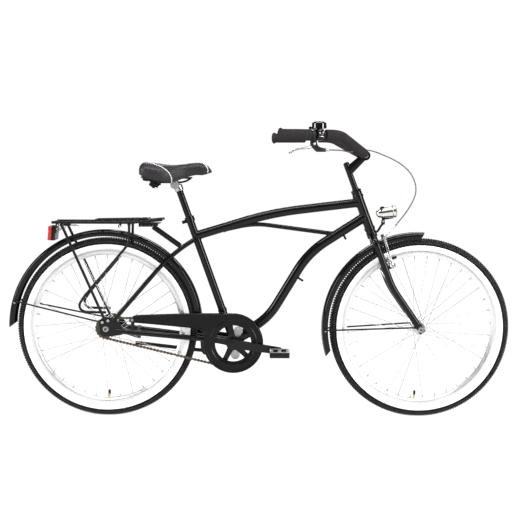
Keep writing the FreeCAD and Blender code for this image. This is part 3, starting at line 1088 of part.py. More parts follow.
# the bolt that hangs the front fender under the crown
hang = cut(rod(5.0, crown_top - UP * 22.0, crown_top - UP * 42.6), fender(p("front_fender_radius"), front_fender_c, 86.5, 111.0),
           *[pipe(p("blade_radius"), [crown_top - UP * 10.0 + Vector(0, 8.0 * s, 0), crown_top - UP * 34.0 + Vector(0, by * s, 0),
                                      bend + Vector(0, by * s, 0), FRONT - tip_dir * 20.0 + Vector(0, by * s, 0)], [34.0, 300.0]) for s in (-1, 1)])
node(group(lamp_br, hang), "headlamp_bracket")

# headlamp: bullet shell with a lens at the front, tilting on the bracket
tilt_up = math.radians(9.0)
lamp_dir = Vector(math.cos(tilt_up), 0, math.sin(tilt_up))
lamp_back = V(985.0, 0, 748.0)
ll, lr = p("lamp_length"), p("lamp_radius")
shell_c = [(0.0, 0.0), (8.0, 1.0), (13.0, 6.0), (17.0, 18.0), (lr - 1.5, 45.0), (lr, ll - 12.0), (lr, ll), (lr - 2.5, ll), (lr - 2.5, ll - 10.0), (0.0, 26.0)]
shell = turned(shell_c, lamp_back, lamp_dir)
lug = slab(12.0, 10.0, 18.0, lamp_pivot + Vector(0, 0, 6.0), Vector(1, 0, 0), Vector(0, 0, 1))
lug = cut(lug, rod(2.56, lamp_pivot + Vector(0, -20, 0), lamp_pivot + Vector(0, 20, 0)))
node(fuse(shell, lug), "headlamp_shell")
lens_c = [(0.0, ll - 6.0), (lr - 2.55, ll - 6.0), (lr - 2.55, ll - 1.5), (lr * 0.55, ll + 1.4), (0.0, ll + 2.0)]
node(turned(lens_c, lamp_back, lamp_dir), "headlamp_lens")

# brake cable: housing from the adjuster behind the right sleeve, past the bar clamp and round in front, then the noodle and the wire between the arms
cab = [adj_from + rdir * 15.2, adj_from + rdir * 42.0, V(850, -190, 977.5), V(866, -148, 974), V(880, -108, 972), V(896, -66, 975), V(925, -36, 983), V(964, -29, 980.5), V(1006, -18, 965), V(1047, -10, 948), V(1083, -6, 926), V(1112, -6, 897),
       V(1128, -8, 862), V(1130, -14, 828), V(1117, -22, 795), V(1097, -29, 763), V(1076, -34, 736), V(1056.5, -37, 712)]
radii = []
for i in range(1, len(cab) - 1):
    a, b = cab[i - 1] - cab[i], cab[i + 1] - cab[i]
    turn = math.pi - a.getAngle(b)
    radii.append(0.45 * min(a.Length, b.Length) / math.tan(turn / 2))
print("cable radii", [round(r) for r in radii])
housing = pipe(p("cable_radius"), cab, radii)
top_r = arm_pivot["brake_arm_right"] + (UP + FWD * 0.075 + Vector(0, 0.02, 0)).normalize() * 109.0
top_l = arm_pivot["brake_arm_left"] + (UP + FWD * 0.075 + Vector(0, -0.02, 0)).normalize() * 109.0
tail_dir = (cab[-1] - cab[-2]).normalize()
n1 = cab[-1]
noodle_pts = [n1, n1 + tail_dir * 14.0, Vector(top_r.x + 9.0, top_r.y - 15.0, top_r.z + 12.0), Vector(top_r.x, top_r.y - 16.0, top_r.z), Vector(top_r.x, top_r.y + 24.0, top_r.z)]
nr = []
for i in range(1, len(noodle_pts) - 1):
    a, b = noodle_pts[i - 1] - noodle_pts[i], noodle_pts[i + 1] - noodle_pts[i]
    turn = math.pi - a.getAngle(b)
    nr.append(0.45 * min(a.Length, b.Length) / math.tan(turn / 2))
print("noodle radii", [round(r, 1) for r in nr])
noodle = pipe(p("noodle_radius"), noodle_pts, nr)
wire = rod(p("wire_radius"), Vector(top_r.x, top_r.y + 24.0, top_r.z), Vector(top_l.x, top_l.y + 8.0, top_l.z))
node(group(housing, noodle, wire), "brake_cable")

# ---------------------------------------------------------------- checks and files
doc.recompute()
bad = [(o.Name, [q.Name for q in o.OutList], [q.Label for q in o.InList]) for o in doc.Objects if "Invalid" in o.State or "Error" in o.State]
if bad:
    raise RuntimeError("failed objects: %s" % bad)
box_all = FreeCAD.BoundBox()
names = []
poor = [o.Label for o in NODES if o.Shape.isNull() or not o.Shape.isValid() or not o.Shape.Solids]
if poor:
    raise RuntimeError("bad shapes: %s" % poor)
for obj in NODES:
    names.append(obj.Label)
    box_all.add(obj.Shape.BoundBox)
if len(set(names)) != len(names) or len(names) > 60:
    raise RuntimeError("node names: %d" % len(names))
h_len = housing.Shape.Volume / (math.pi * value["cable_radius"] ** 2)
print("housing length by volume %.1f, by path %.1f" % (h_len, housing.Spine[0].Shape.Length))
for obj in NODES:
    obj.Shape.exportStep("parts/%s.step" % obj.Label)
    print("%-24s solids %3d volume %10.0f" % (obj.Label, len(obj.Shape.Solids), obj.Shape.Volume))
print("nodes", len(names), "box", box_all)
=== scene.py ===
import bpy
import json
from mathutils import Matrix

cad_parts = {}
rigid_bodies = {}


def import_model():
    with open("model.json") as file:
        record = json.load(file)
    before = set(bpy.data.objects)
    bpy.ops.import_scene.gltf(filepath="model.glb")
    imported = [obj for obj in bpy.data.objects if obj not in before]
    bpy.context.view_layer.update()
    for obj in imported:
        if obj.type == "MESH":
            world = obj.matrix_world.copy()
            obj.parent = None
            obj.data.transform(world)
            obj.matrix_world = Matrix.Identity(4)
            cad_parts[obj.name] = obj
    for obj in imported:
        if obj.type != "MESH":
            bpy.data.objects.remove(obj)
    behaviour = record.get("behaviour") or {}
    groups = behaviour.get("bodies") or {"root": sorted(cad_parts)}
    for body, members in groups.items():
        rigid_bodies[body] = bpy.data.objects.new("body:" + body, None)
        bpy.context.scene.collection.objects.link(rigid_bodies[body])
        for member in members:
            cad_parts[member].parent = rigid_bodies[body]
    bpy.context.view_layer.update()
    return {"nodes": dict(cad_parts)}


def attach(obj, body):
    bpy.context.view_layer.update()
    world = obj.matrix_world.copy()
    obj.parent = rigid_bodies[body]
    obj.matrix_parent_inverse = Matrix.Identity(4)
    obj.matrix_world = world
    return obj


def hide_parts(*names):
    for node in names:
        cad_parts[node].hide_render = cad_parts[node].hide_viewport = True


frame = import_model()

import json
import math

import bmesh
import bpy
from mathutils import Matrix, Vector
from mathutils.bvhtree import BVHTree

scene = bpy.context.scene
node = frame["nodes"]
SX = -557.22  # lengths below are in millimetres from the rear axle, moved by this to the shared frame
PI = math.pi
rad = math.radians


def metres(v):
    return Vector(((v[0] + SX) * 0.001, v[1] * 0.001, v[2] * 0.001))


# ---------------------------------------------------------------- camera
cam_data = bpy.data.cameras.new("camera")
cam = bpy.data.objects.new("camera", cam_data)
scene.collection.objects.link(cam)
cam_data.sensor_width = 36.0
cam_data.lens = 77.6
cam.location = (0.00278, -4.150, 0.930)
cam.rotation_euler = (rad(90.0 - 4.975), rad(-0.22), rad(-0.12))
scene.camera = cam


# ---------------------------------------------------------------- geometry helpers
class Kit:
    """Faces gathered in millimetres, each with its own material, and made into one mesh."""

    def __init__(self):
        self.verts, self.faces, self.ids, self.mats = [], [], [], []

    def add(self, shape, mat, place=None):
        if mat not in self.mats:
            self.mats.append(mat)
        index, start = self.mats.index(mat), len(self.verts)
        verts, faces = shape
        for v in verts:
            v = Vector(v)
            self.verts.append(place @ v if place is not None else v)
        for f in faces:
            self.faces.append([start + i for i in f])
            self.ids.append(index)
        return self

    def make(self, name, body, stands_for=(), sharp=38.0):
        mesh = bpy.data.meshes.new(name)
        mesh.from_pydata([metres(v) for v in self.verts], [], self.faces)
        for m in self.mats:
            mesh.materials.append(m)
        mesh.polygons.foreach_set("material_index", self.ids)
        bm = bmesh.new()
        bm.from_mesh(mesh)
        bmesh.ops.recalc_face_normals(bm, faces=bm.faces)
        bm.to_mesh(mesh)
        bm.free()
        mesh.polygons.foreach_set("use_smooth", [True] * len(mesh.polygons))
        mesh.update()
        mesh.set_sharp_from_angle(angle=rad(sharp))
        obj = bpy.data.objects.new(name, mesh)
        scene.collection.objects.link(obj)
        if body:
            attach(obj, body)
        if stands_for:
            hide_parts(*stands_for)
        return obj


def at(origin, z=(0, 0, 1), x=None):
    """A place at origin with its third axis along z and its first near x."""
    zd = Vector(z).normalized()
    xd = Vector(x) if x is not None else (Vector((1, 0, 0)) if abs(zd.x) < 0.9 else Vector((0, 1, 0)))
    xd = (xd - zd * xd.dot(zd)).normalized()
    yd = zd.cross(xd)
    m = Matrix((xd, yd, zd)).transposed().to_4x4()
    m.translation = Vector(origin)
    return m


def tidy(face):
    out = [v for i, v in enumerate(face) if v != face[i - 1]]
    return out if len(set(out)) >= 3 else None


def rev(profile, n=48, closed=False, a0=0.0, a1=2 * PI):
    """Turns (radius, height) points about the third axis."""
    full = abs(a1 - a0 - 2 * PI) < 1e-6
    m = n if full else n + 1
    verts, rows = [], []
    for r, h in profile:
        if r < 1e-6:
            rows.append([len(verts)] * m)
            verts.append((0, 0, h))
        else:
            rows.append(list(range(len(verts), len(verts) + m)))
            for i in range(m):
                a = a0 + (a1 - a0) * i / n
                verts.append((r * math.cos(a), r * math.sin(a), h))
    faces = []
    pairs = list(zip(rows, rows[1:])) + ([(rows[-1], rows[0])] if closed else [])
    for a, b in pairs:
        for i in range(n):
            j = (i + 1) % m if full else i + 1
            f = tidy([a[i], a[j], b[j], b[i]])
            if f:
                faces.append(f)
    if closed and not full:
        faces.append([r[0] for r in rows])
        faces.append([r[-1] for r in reversed(rows)])
    return verts, faces


def sweep(path, radius, n=14, caps=True, loop=False):
    """A round rod along a path, one radius or one for each point."""
    pts = [Vector(q) for q in path]
    count = len(pts)
    radii = list(radius) if hasattr(radius, "__len__") else [radius] * count
    tangents = []
    for i in range(count):
        a = pts[i - 1] if (i > 0 or loop) else pts[i]
        b = pts[(i + 1) % count] if (i < count - 1 or loop) else pts[i]
        tangents.append((b - a).normalized())
    t = tangents[0]
    side = Vector((0, 0, 1)) if abs(t.z) < 0.9 else Vector((1, 0, 0))
    u = (side - t * side.dot(t)).normalized()
    verts, faces = [], []
    for i in range(count):
        t = tangents[i]
        u = (u - t * u.dot(t)).normalized()
        w = t.cross(u)
        for k in range(n):
            a = 2 * PI * k / n
            verts.append(pts[i] + (u * math.cos(a) + w * math.sin(a)) * radii[i])
    for i in range(count if loop else count - 1):
        a, b = i * n, ((i + 1) % count) * n
        for k in range(n):
            faces.append([a + k, a + (k + 1) % n, b + (k + 1) % n, b + k])
    if caps and not loop:
        faces.append(list(range(n))[::-1])
        faces.append([(count - 1) * n + k for k in range(n)])
    return verts, faces


def loft(rings, caps=True):
    """A skin over rings that have the same number of points."""
    n = len(rings[0])
    verts = [v for r in rings for v in r]
    faces = []
    for i in range(len(rings) - 1):
        for k in range(n):
            faces.append([i * n + k, i * n + (k + 1) % n, (i + 1) * n + (k + 1) % n, (i + 1) * n + k])
    if caps:
        faces.append(list(range(n))[::-1])
        faces.append([(len(rings) - 1) * n + k for k in range(n)])
    return verts, faces


def taken(bm):
    bm.verts.index_update()
    shape = [v.co.copy() for v in bm.verts], [[v.index for v in f.verts] for f in bm.faces]
    bm.free()
    return shape


def block(sx, sy, sz, bevel=1.0, seg=2):
    bm = bmesh.new()
    bmesh.ops.create_cube(bm, size=1.0)
    bmesh.ops.scale(bm, vec=(sx, sy, sz), verts=bm.verts)
    if bevel:
        bmesh.ops.bevel(bm, geom=bm.edges[:], offset=bevel, segments=seg, affect="EDGES", profile=0.6)
    return taken(bm)


def prism(outline, depth, bevel=0.0, seg=2, both=True):
    """An outline in the first two axes, raised along the third, with softened rims."""
    n = len(outline)
    bm = bmesh.new()
    low = [bm.verts.new((x, y, 0.0)) for x, y in outline]
    high = [bm.verts.new((x, y, depth)) for x, y in outline]
    bm.faces.new(low[::-1])
    bm.faces.new(high)
    for i in range(n):
        bm.faces.new((low[i], low[(i + 1) % n], high[(i + 1) % n], high[i]))
    if bevel:
        rims = [e for e in bm.edges if abs(e.verts[0].co.z - e.verts[1].co.z) < 1e-6 and (both or e.verts[0].co.z > depth / 2)]
        bmesh.ops.bevel(bm, geom=rims, offset=bevel, segments=seg, affect="EDGES", profile=0.6)
    return taken(bm)


def circle(cx, cy, r, n=32, a0=0.0, a1=360.0):
    full = abs(a1 - a0 - 360.0) < 1e-6
    m = n if full else n + 1
    return [(cx + r * math.cos(rad(a0 + (a1 - a0) * i / n)), cy + r * math.sin(rad(a0 + (a1 - a0) * i / n))) for i in range(m)]


def nut(across, height, hole=0.0):
    """A six-sided nut or bolt head with rounded corners on top."""
    r = across / math.sqrt(3)
    rings = []
    for z, s, mix in ((0.0, 1.0, 0.0), (height * 0.82, 1.0, 0.0), (height, 0.93, 0.75)):
        ring = []
        for i in range(24):
            a = 2 * PI * i / 24
            w = (a + PI / 6) % (PI / 3) - PI / 6
            hexr = r * math.cos(PI / 6) / math.cos(w)
            q = hexr * (1 - mix) + r * math.cos(PI / 6) * mix
            ring.append(Vector((q * s * math.cos(a), q * s * math.sin(a), z)))
        rings.append(ring)
    if hole:
        for z in (height, height * 0.35):
            rings.append([Vector((hole * math.cos(2 * PI * i / 24), hole * math.sin(2 * PI * i / 24), z)) for i in range(24)])
    return loft(rings)


def dome_head(r, height, socket=0.0):
    """A round bolt head, with a socket if asked."""
    prof = [(r, 0.0), (r, height * 0.45), (r * 0.93, height * 0.78), (r * 0.7, height)]
    if socket:
        prof += [(socket, height), (socket * 0.96, height * 0.35), (0.0, height * 0.3)]
    else:
        prof += [(0.0, height * 1.04)]
    return rev([(0.0, 0.0)] + prof, 24)


def spline(points, name, fine=12):
    """Points along a smooth spline that has the given control points, in millimetres."""
    curve = bpy.data.curves.new(name + "_line", "CURVE")
    curve.dimensions = "3D"
    s = curve.splines.new("NURBS")
    s.points.add(len(points) - 1)
    for q, v in zip(s.points, points):
        q.co = (v[0], v[1], v[2], 1.0)
    s.order_u = 3
    s.use_endpoint_u = True
    s.resolution_u = fine
    holder = bpy.data.objects.new(name + "_line", curve)
    mesh = bpy.data.meshes.new_from_object(holder)
    out = [v.co.copy() for v in mesh.vertices]
    bpy.data.meshes.remove(mesh)
    bpy.data.objects.remove(holder)
    bpy.data.curves.remove(curve)
    return out


def helix(start, end, radius, turns, per=14):
    a, b = Vector(start), Vector(end)
    m = at(a, b - a)
    length = (b - a).length
    n = int(turns * per)
    return [m @ Vector((radius * math.cos(2 * PI * i / per), radius * math.sin(2 * PI * i / per), length * i / n)) for i in range(n + 1)]


def bead(tube_point, tube_dir, tube_r, main_point, main_dir, main_r, size=2.1, n=56):
    """The weld round a tube where it meets a larger one."""
    d, e = Vector(tube_dir).normalized(), Vector(main_dir).normalized()
    m = at(tube_point, d)
    q = Vector(main_point)
    ring = []
    for i in range(n):
        a = 2 * PI * i / n
        start = m @ Vector((tube_r * math.cos(a), tube_r * math.sin(a), 0.0))
        w = start - q
        w = w - e * w.dot(e)
        v = d - e * d.dot(e)
        aa, bb, cc = v.dot(v), 2 * w.dot(v), w.dot(w) - main_r * main_r
        disc = bb * bb - 4 * aa * cc
        s = (-bb - math.sqrt(disc)) / (2 * aa) if disc > 0 else -bb / (2 * aa)
        ring.append(start + d * s)
    sizes = [size * (1.0 + 0.16 * math.sin(2 * PI * 14 * i / n)) for i in range(n)]
    return sweep(ring, sizes, 8, loop=True)


# ---------------------------------------------------------------- materials
def material(name, color, rough, metal=0.0, vary=0.2, patch=40.0, rough_vary=0.06, bumps=(), alpha=1.0, **consts):
    mat = bpy.data.materials.new(name)
    mat.use_nodes = True
    nt = mat.node_tree
    bsdf = nt.nodes["Principled BSDF"]
    where = nt.nodes.new("ShaderNodeTexCoord")
    cloud = nt.nodes.new("ShaderNodeTexNoise")
    cloud.inputs["Scale"].default_value = patch
    cloud.inputs["Detail"].default_value = 4.0
    nt.links.new(where.outputs["Object"], cloud.inputs["Vector"])
    ramp = nt.nodes.new("ShaderNodeValToRGB")
    ramp.color_ramp.elements[0].position = 0.32
    ramp.color_ramp.elements[1].position = 0.70
    ramp.color_ramp.elements[0].color = tuple(min(1.0, c * (1 - vary)) for c in color) + (1.0,)
    ramp.color_ramp.elements[1].color = tuple(min(1.0, c * (1 + vary)) for c in color) + (1.0,)
    nt.links.new(cloud.outputs["Fac"], ramp.inputs["Fac"])
    nt.links.new(ramp.outputs["Color"], bsdf.inputs["Base Color"])
    spread = nt.nodes.new("ShaderNodeTexNoise")
    spread.inputs["Scale"].default_value = patch * 3.1
    spread.inputs["Detail"].default_value = 5.0
    nt.links.new(where.outputs["Object"], spread.inputs["Vector"])
    band = nt.nodes.new("ShaderNodeMapRange")
    band.inputs["From Min"].default_value = 0.3
    band.inputs["From Max"].default_value = 0.7
    band.inputs["To Min"].default_value = max(0.0, rough - rough_vary)
    band.inputs["To Max"].default_value = min(1.0, rough + rough_vary)
    nt.links.new(spread.outputs["Fac"], band.inputs["Value"])
    nt.links.new(band.outputs["Result"], bsdf.inputs["Roughness"])
    bsdf.inputs["Metallic"].default_value = metal
    bsdf.inputs["Alpha"].default_value = alpha
    for key, number in consts.items():
        bsdf.inputs[key.replace("_", " ").title().replace("Ior", "IOR")].default_value = number
    last = None
    for kind, scale, strength, depth in bumps:
        if kind == "noise":
            tex = nt.nodes.new("ShaderNodeTexNoise")
            tex.inputs["Detail"].default_value = 3.0
            out = tex.outputs["Fac"]
        elif kind == "cells":
            tex = nt.nodes.new("ShaderNodeTexVoronoi")
            out = tex.outputs["Distance"]
        else:
            tex = nt.nodes.new("ShaderNodeTexWave")
            tex.bands_direction = kind
            tex.inputs["Distortion"].default_value = 0.4
            out = tex.outputs["Fac"]
        tex.inputs["Scale"].default_value = scale
        nt.links.new(where.outputs["Object"], tex.inputs["Vector"])
        b = nt.nodes.new("ShaderNodeBump")
        b.inputs["Strength"].default_value = strength
        b.inputs["Distance"].default_value = depth
        nt.links.new(out, b.inputs["Height"])
        if last:
            nt.links.new(last.outputs["Normal"], b.inputs["Normal"])
        last = b
    if last:
        nt.links.new(last.outputs["Normal"], bsdf.inputs["Normal"])
    return mat


PAINT = material("gloss_black_paint", (0.0034, 0.0031, 0.0034), 0.13, vary=0.25, patch=14.0, rough_vary=0.04,
                 bumps=(("noise", 700.0, 0.020, 0.0004),), specular_ior_level=0.28)
SATIN = material("satin_black_paint", (0.0045, 0.0042, 0.0045), 0.28, vary=0.25, patch=30.0, rough_vary=0.07,
                 bumps=(("noise", 900.0, 0.06, 0.0004),), specular_ior_level=0.26)
GUARD = material("satin_black_plastic", (0.0036, 0.0031, 0.0033), 0.24, vary=0.22, patch=25.0, rough_vary=0.06,
                 bumps=(("cells", 1500.0, 0.05, 0.0003), ("noise", 60.0, 0.03, 0.002)), specular_ior_level=0.20)
PLASTIC = material("black_plastic", (0.006, 0.0057, 0.006), 0.30, vary=0.25, patch=60.0, bumps=(("noise", 1400.0, 0.08, 0.0003),), specular_ior_level=0.30)
DULL = material("dull_black_plastic", (0.009, 0.0087, 0.009), 0.55, vary=0.3, patch=60.0, bumps=(("cells", 1800.0, 0.12, 0.0003),), specular_ior_level=0.28)
FOAM = material("foam_rubber", (0.027, 0.0245, 0.0262), 0.86, vary=0.16, patch=90.0, rough_vary=0.05,
                bumps=(("cells", 1600.0, 0.10, 0.0005), ("noise", 300.0, 0.04, 0.001)), specular_ior_level=0.07)
VINYL = material("black_vinyl", (0.0142, 0.0124, 0.0142), 0.46, vary=0.12, patch=35.0, rough_vary=0.04,
                 bumps=(("cells", 900.0, 0.045, 0.0004), ("noise", 1800.0, 0.03, 0.0002)), specular_ior_level=0.38)
RUBBER = material("black_rubber", (0.009, 0.0088, 0.009), 0.66, vary=0.3, patch=70.0, bumps=(("noise", 900.0, 0.15, 0.0004),), specular_ior_level=0.10)
# the knobs are a lighter copy of the casing's black rubber: painted light on the knob tops, so the gaps between them
# read as shade
KNOB_PAINTED_LIGHT = material("tyre_knob_painted_light", (0.042, 0.0385, 0.041), 0.74, vary=0.30, patch=45.0, bumps=(("noise", 650.0, 0.20, 0.0006),), specular_ior_level=0.08)
TREAD = material("tyre_tread", (0.010, 0.0092, 0.0097), 0.78, vary=0.35, patch=45.0, bumps=(("noise", 650.0, 0.22, 0.0007),), specular_ior_level=0.05)
WHITEWALL = material("tyre_white_wall", (0.92, 0.915, 0.91), 0.52, vary=0.035, patch=18.0, bumps=(("noise", 420.0, 0.06, 0.0005),))
RIM = material("rim_alloy", (0.84, 0.835, 0.855), 0.30, metal=0.82, vary=0.05, patch=12.0, bumps=(("noise", 1500.0, 0.03, 0.0002),))
ALLOY = material("polished_alloy", (0.64, 0.64, 0.65), 0.24, metal=1.0, vary=0.07, patch=50.0, bumps=(("noise", 900.0, 0.05, 0.0003),))
LEVER = material("silver_alloy_lever", (0.33, 0.335, 0.325), 0.34, metal=0.8, vary=0.06, patch=40.0, bumps=(("noise", 1300.0, 0.05, 0.0002),))
BLADE = material("silver_alloy_paint", (0.46, 0.46, 0.46), 0.30, metal=0.8, vary=0.05, patch=40.0, bumps=(("noise", 1300.0, 0.05, 0.0002),))
STEEL = material("zinc_steel", (0.54, 0.54, 0.54), 0.30, metal=1.0, vary=0.12, patch=90.0, bumps=(("noise", 1600.0, 0.10, 0.0002),))
SPOKE = material("stainless_spoke", (0.78, 0.78, 0.775), 0.27, metal=0.92, vary=0.08, patch=60.0, bumps=(("noise", 2000.0, 0.05, 0.0001),))
NIPPLE = material("brass_nipple_dull", (0.52, 0.52, 0.52), 0.38, metal=1.0, vary=0.2, patch=200.0, bumps=(("noise", 2500.0, 0.12, 0.0001),))
CHROME = material("chrome", (0.78, 0.76, 0.72), 0.05, metal=1.0, vary=0.02, patch=30.0, rough_vary=0.02, bumps=(("noise", 140.0, 0.012, 0.0008),))
BLACK_CHROME = material("black_chrome", (0.040, 0.037, 0.040), 0.09, metal=1.0, vary=0.1, patch=40.0, rough_vary=0.02,
                        bumps=(("noise", 160.0, 0.012, 0.0008),), coat_weight=1.0, coat_roughness=0.03)
BRASS = material("brass", (0.72, 0.50, 0.22), 0.28, metal=1.0, vary=0.12, patch=120.0, bumps=(("noise", 1800.0, 0.10, 0.0002),))
BRONZE = material("chain_bronze", (0.135, 0.098, 0.072), 0.36, metal=0.9, vary=0.28, patch=120.0, bumps=(("noise", 1200.0, 0.15, 0.0003),))
DARK_STEEL = material("dark_steel", (0.10, 0.098, 0.097), 0.40, metal=0.9, vary=0.25, patch=80.0, bumps=(("noise", 1200.0, 0.12, 0.0003),))
RED = material("red_lens", (0.42, 0.008, 0.010), 0.14, vary=0.18, patch=30.0, rough_vary=0.04,
               bumps=(("Y", 150.0, 0.30, 0.0012), ("Z", 150.0, 0.30, 0.0012)), coat_weight=0.8, coat_roughness=0.05)
GLASS = material("clear_lens", (0.95, 0.96, 0.97), 0.04, vary=0.02, patch=30.0, rough_vary=0.02,
                 bumps=(("Y", 120.0, 0.5, 0.0015),), transmission_weight=0.9, ior=1.47)
HOUSING = material("cable_housing", (0.125, 0.108, 0.098), 0.42, vary=0.15, patch=90.0, bumps=(("noise", 1500.0, 0.08, 0.0002),))
PIPING = material("white_piping", (0.83, 0.825, 0.81), 0.45, vary=0.05, patch=80.0, bumps=(("noise", 1500.0, 0.10, 0.0003),))
ZINC = material("pale_zinc", (0.60, 0.60, 0.60), 0.46, metal=0.7, vary=0.08, patch=70.0, bumps=(("noise", 900.0, 0.10, 0.0003),))

# ---------------------------------------------------------------- brake cable
# the same route points as the CAD housing: adjuster, behind the right sleeve, past the bar clamp, round in front, noodle
LEV = Vector((740.0, -(300.0 - 80.0 * (740.0 - 624.0) / 211.0), 1031.0))
RDIR = Vector((211.0, 80.0, 0.0)).normalized()
LDIR = Vector((80.0, -211.0, 0.0)).normalized()
ADJ = LEV + RDIR * 46.0 + Vector((0, 0, -52.0))
CABLE = [ADJ + RDIR * 15.2, ADJ + RDIR * 42.0] + [Vector(q) for q in (
    (850, -190, 977.5), (866, -148, 974), (880, -108, 972), (896, -66, 975), (925, -36, 983), (964, -29, 980.5), (1006, -18, 965),
    (1047, -10, 948), (1083, -6, 926), (1112, -6, 897), (1128, -8, 862), (1130, -14, 828), (1117, -22, 795), (1097, -29, 763),
    (1076, -34, 736), (1056.5, -37, 712))]
curve = bpy.data.curves.new("brake_cable_housing", "CURVE")
curve.dimensions = "3D"
line = curve.splines.new("NURBS")
line.points.add(len(CABLE) - 1)
for q, v in zip(line.points, CABLE):
    q.co = tuple(metres(v)) + (1.0,)
line.order_u = 3
line.use_endpoint_u = True
line.resolution_u = 14
curve.bevel_depth = 0.0025
curve.bevel_resolution = 5
curve.use_fill_caps = True
curve.materials.append(HOUSING)
cable = bpy.data.objects.new("brake_cable_housing", curve)
scene.collection.objects.link(cable)
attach(cable, "steering")
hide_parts("brake_cable")

# ---------------------------------------------------------------- floor and light
floor_mesh = bpy.data.meshes.new("floor")
floor_mesh.from_pydata([(-30, -30, 0), (30, -30, 0), (30, 30, 0), (-30, 30, 0)], [], [[0, 1, 2, 3]])
floor = bpy.data.objects.new("floor", floor_mesh)
scene.collection.objects.link(floor)
floor_mesh.materials.append(material("pale_floor", (0.13, 0.13, 0.13), 0.85, vary=0.01, patch=3.0, rough_vary=0.03, emission_color=(1.0, 1.0, 1.0, 1.0), emission_strength=0.93, specular_ior_level=0.05))

world = bpy.data.worlds.new("studio")
scene.world = world
world.use_nodes = True
wt = world.node_tree
back = wt.nodes["Background"]
back.inputs["Color"].default_value = (1.0, 1.0, 1.0, 1.0)
back.inputs["Strength"].default_value = 0.12
bright = wt.nodes.new("ShaderNodeBackground")
bright.inputs["Color"].default_value = (1.0, 1.0, 1.0, 1.0)
bright.inputs["Strength"].default_value = 1.03
path = wt.nodes.new("ShaderNodeLightPath")
blend_world = wt.nodes.new("ShaderNodeMixShader")
wt.links.new(path.outputs["Is Camera Ray"], blend_world.inputs["Fac"])
wt.links.new(back.outputs["Background"], blend_world.inputs[1])
wt.links.new(bright.outputs["Background"], blend_world.inputs[2])
wt.links.new(blend_world.outputs["Shader"], wt.nodes["World Output"].inputs["Surface"])


def lamp(name, kind, energy, place, aim, size=(1.0, 1.0)):
    data = bpy.data.lights.new(name, kind)
    data.energy = energy
    if kind == "AREA":
        data.shape = "RECTANGLE"
        data.size, data.size_y = size
    else:
        data.angle = rad(size[0])
    obj = bpy.data.objects.new(name, data)
    scene.collection.objects.link(obj)
    obj.location = place
    d = Vector(aim) - Vector(place)
    obj.rotation_euler = d.to_track_quat("-Z", "Y").to_euler()
    return obj


lamp("sky_soft", "SUN", 1.7, (0.2, -0.9, 4.0), (0, 0, 0), (75.0, 0))
lamp("top_strip", "AREA", 46.0, (0.0, -0.9, 3.1), (0, 0, 0.5), (3.4, 0.22))
lamp("left_strip", "AREA", 110.0, (-3.9, -1.3, 1.8), (0, 0, 0.6), (1.5, 2.2))
lamp("right_strip", "AREA", 106.0, (3.4, -2.0, 1.8), (0, 0, 0.6), (1.0, 2.2))
fill = lamp("front_fill", "AREA", 106.0, (0.0, -6.0, 1.6), (0, 0, 0.5), (4.0, 1.6))
fill.visible_glossy = False
lamp("back_strip", "AREA", 30.0, (0.6, 2.8, 2.4), (0, 0, 0.5), (3.0, 0.4))
scene.view_settings.view_transform = "Standard"
scene.view_settings.look = "None"

# ---------------------------------------------------------------- finishes of the CAD pieces that stay as they are
FINISH = {
    PAINT: ("head_tube", "top_tube", "down_tube", "seat_tube", "bottom_bracket_shell", "chain_stays", "seat_stays", "headset_cups", "seat_clamp", "fork", "stem", "seatpost",
            "headset_nuts", "rear_fender", "front_fender", "handlebar", "kickstand_leg", "crank_arms", "chainring"),
    SATIN: ("rear_fender_stays", "front_fender_stays", "rack_platform", "rack_legs", "rack_spring_clip", "headlamp_bracket", "saddle_rails"),
    STEEL: ("bottom_bracket_cups", "front_axle", "rear_axle", "frame_bolts", "saddle_clamp"),
    DARK_STEEL: ("rear_sprocket", "coaster_brake_arm"),
    ZINC: ("chain_guard_brackets",),
    SPOKE: ("front_spokes", "rear_spokes"),
    RIM: ("front_rim", "rear_rim"),
    ALLOY: ("front_hub", "rear_hub", "brake_arm_right", "brake_arm_left"),
    LEVER: ("brake_lever",),
    CHROME: ("headlamp_shell", "bell"),
    TREAD: ("front_tyre", "rear_tyre"),
    FOAM: ("foam_grips",),
    RUBBER: ("saddle_elastomers",),
    VINYL: ("saddle_cushion",),
    GUARD: ("chain_guard",),
    PLASTIC: ("tail_light", "brake_lever_bracket", "bell_lever"),
    DULL: ("saddle_base", "pedal_right", "pedal_left"),
    BRONZE: ("chain",),
    GLASS: ("headlamp_lens",),
    HOUSING: ("brake_cable",),
}
for mat, names in FINISH.items():
    for n in names:
        mesh = node[n].data
        mesh.materials.clear()
        mesh.materials.append(mat)
        mesh.polygons.foreach_set("material_index", [0] * len(mesh.polygons))
# the guard's tab and clip are black; only the plate behind the spider stays pale
mesh = node["chain_guard_brackets"].data
mesh.materials.append(PAINT)
mesh.polygons.foreach_set("material_index", [0 if f.center.x * 1000.0 - SX > 436.0 and f.center.z < 0.372 else 1 for f in mesh.polygons])
# the ends of the axles and the washers under their nuts are dark
for name, cx in (("front_axle", 1149.0), ("rear_axle", 0.0)):
    mesh = node[name].data
    mesh.materials.append(DARK_STEEL)
    mesh.polygons.foreach_set("material_index", [1 if math.hypot(f.center.x * 1000.0 - SX - cx, f.center.z * 1000.0 - 329.5) < 4.95 else 0 for f in mesh.polygons])
# the pinch bolt of the stem is bare steel
mesh = node["stem"].data
mesh.materials.append(STEEL)
mesh.polygons.foreach_set("material_index", [1 if 913.0 < f.center.x * 1000.0 - SX < 925.0 and f.center.z > 0.9682 and abs(f.center.y) < 0.006 else 0 for f in mesh.polygons])

# ---------------------------------------------------------------- wheels
REAR, FRONT = Vector((0, 0, 329.5)), Vector((1149.0, 0, 329.5))
ACROSS = Vector((0, 1, 0))


def wheel_place(c):
    return at(c, (0, 1, 0), (1, 0, 0))


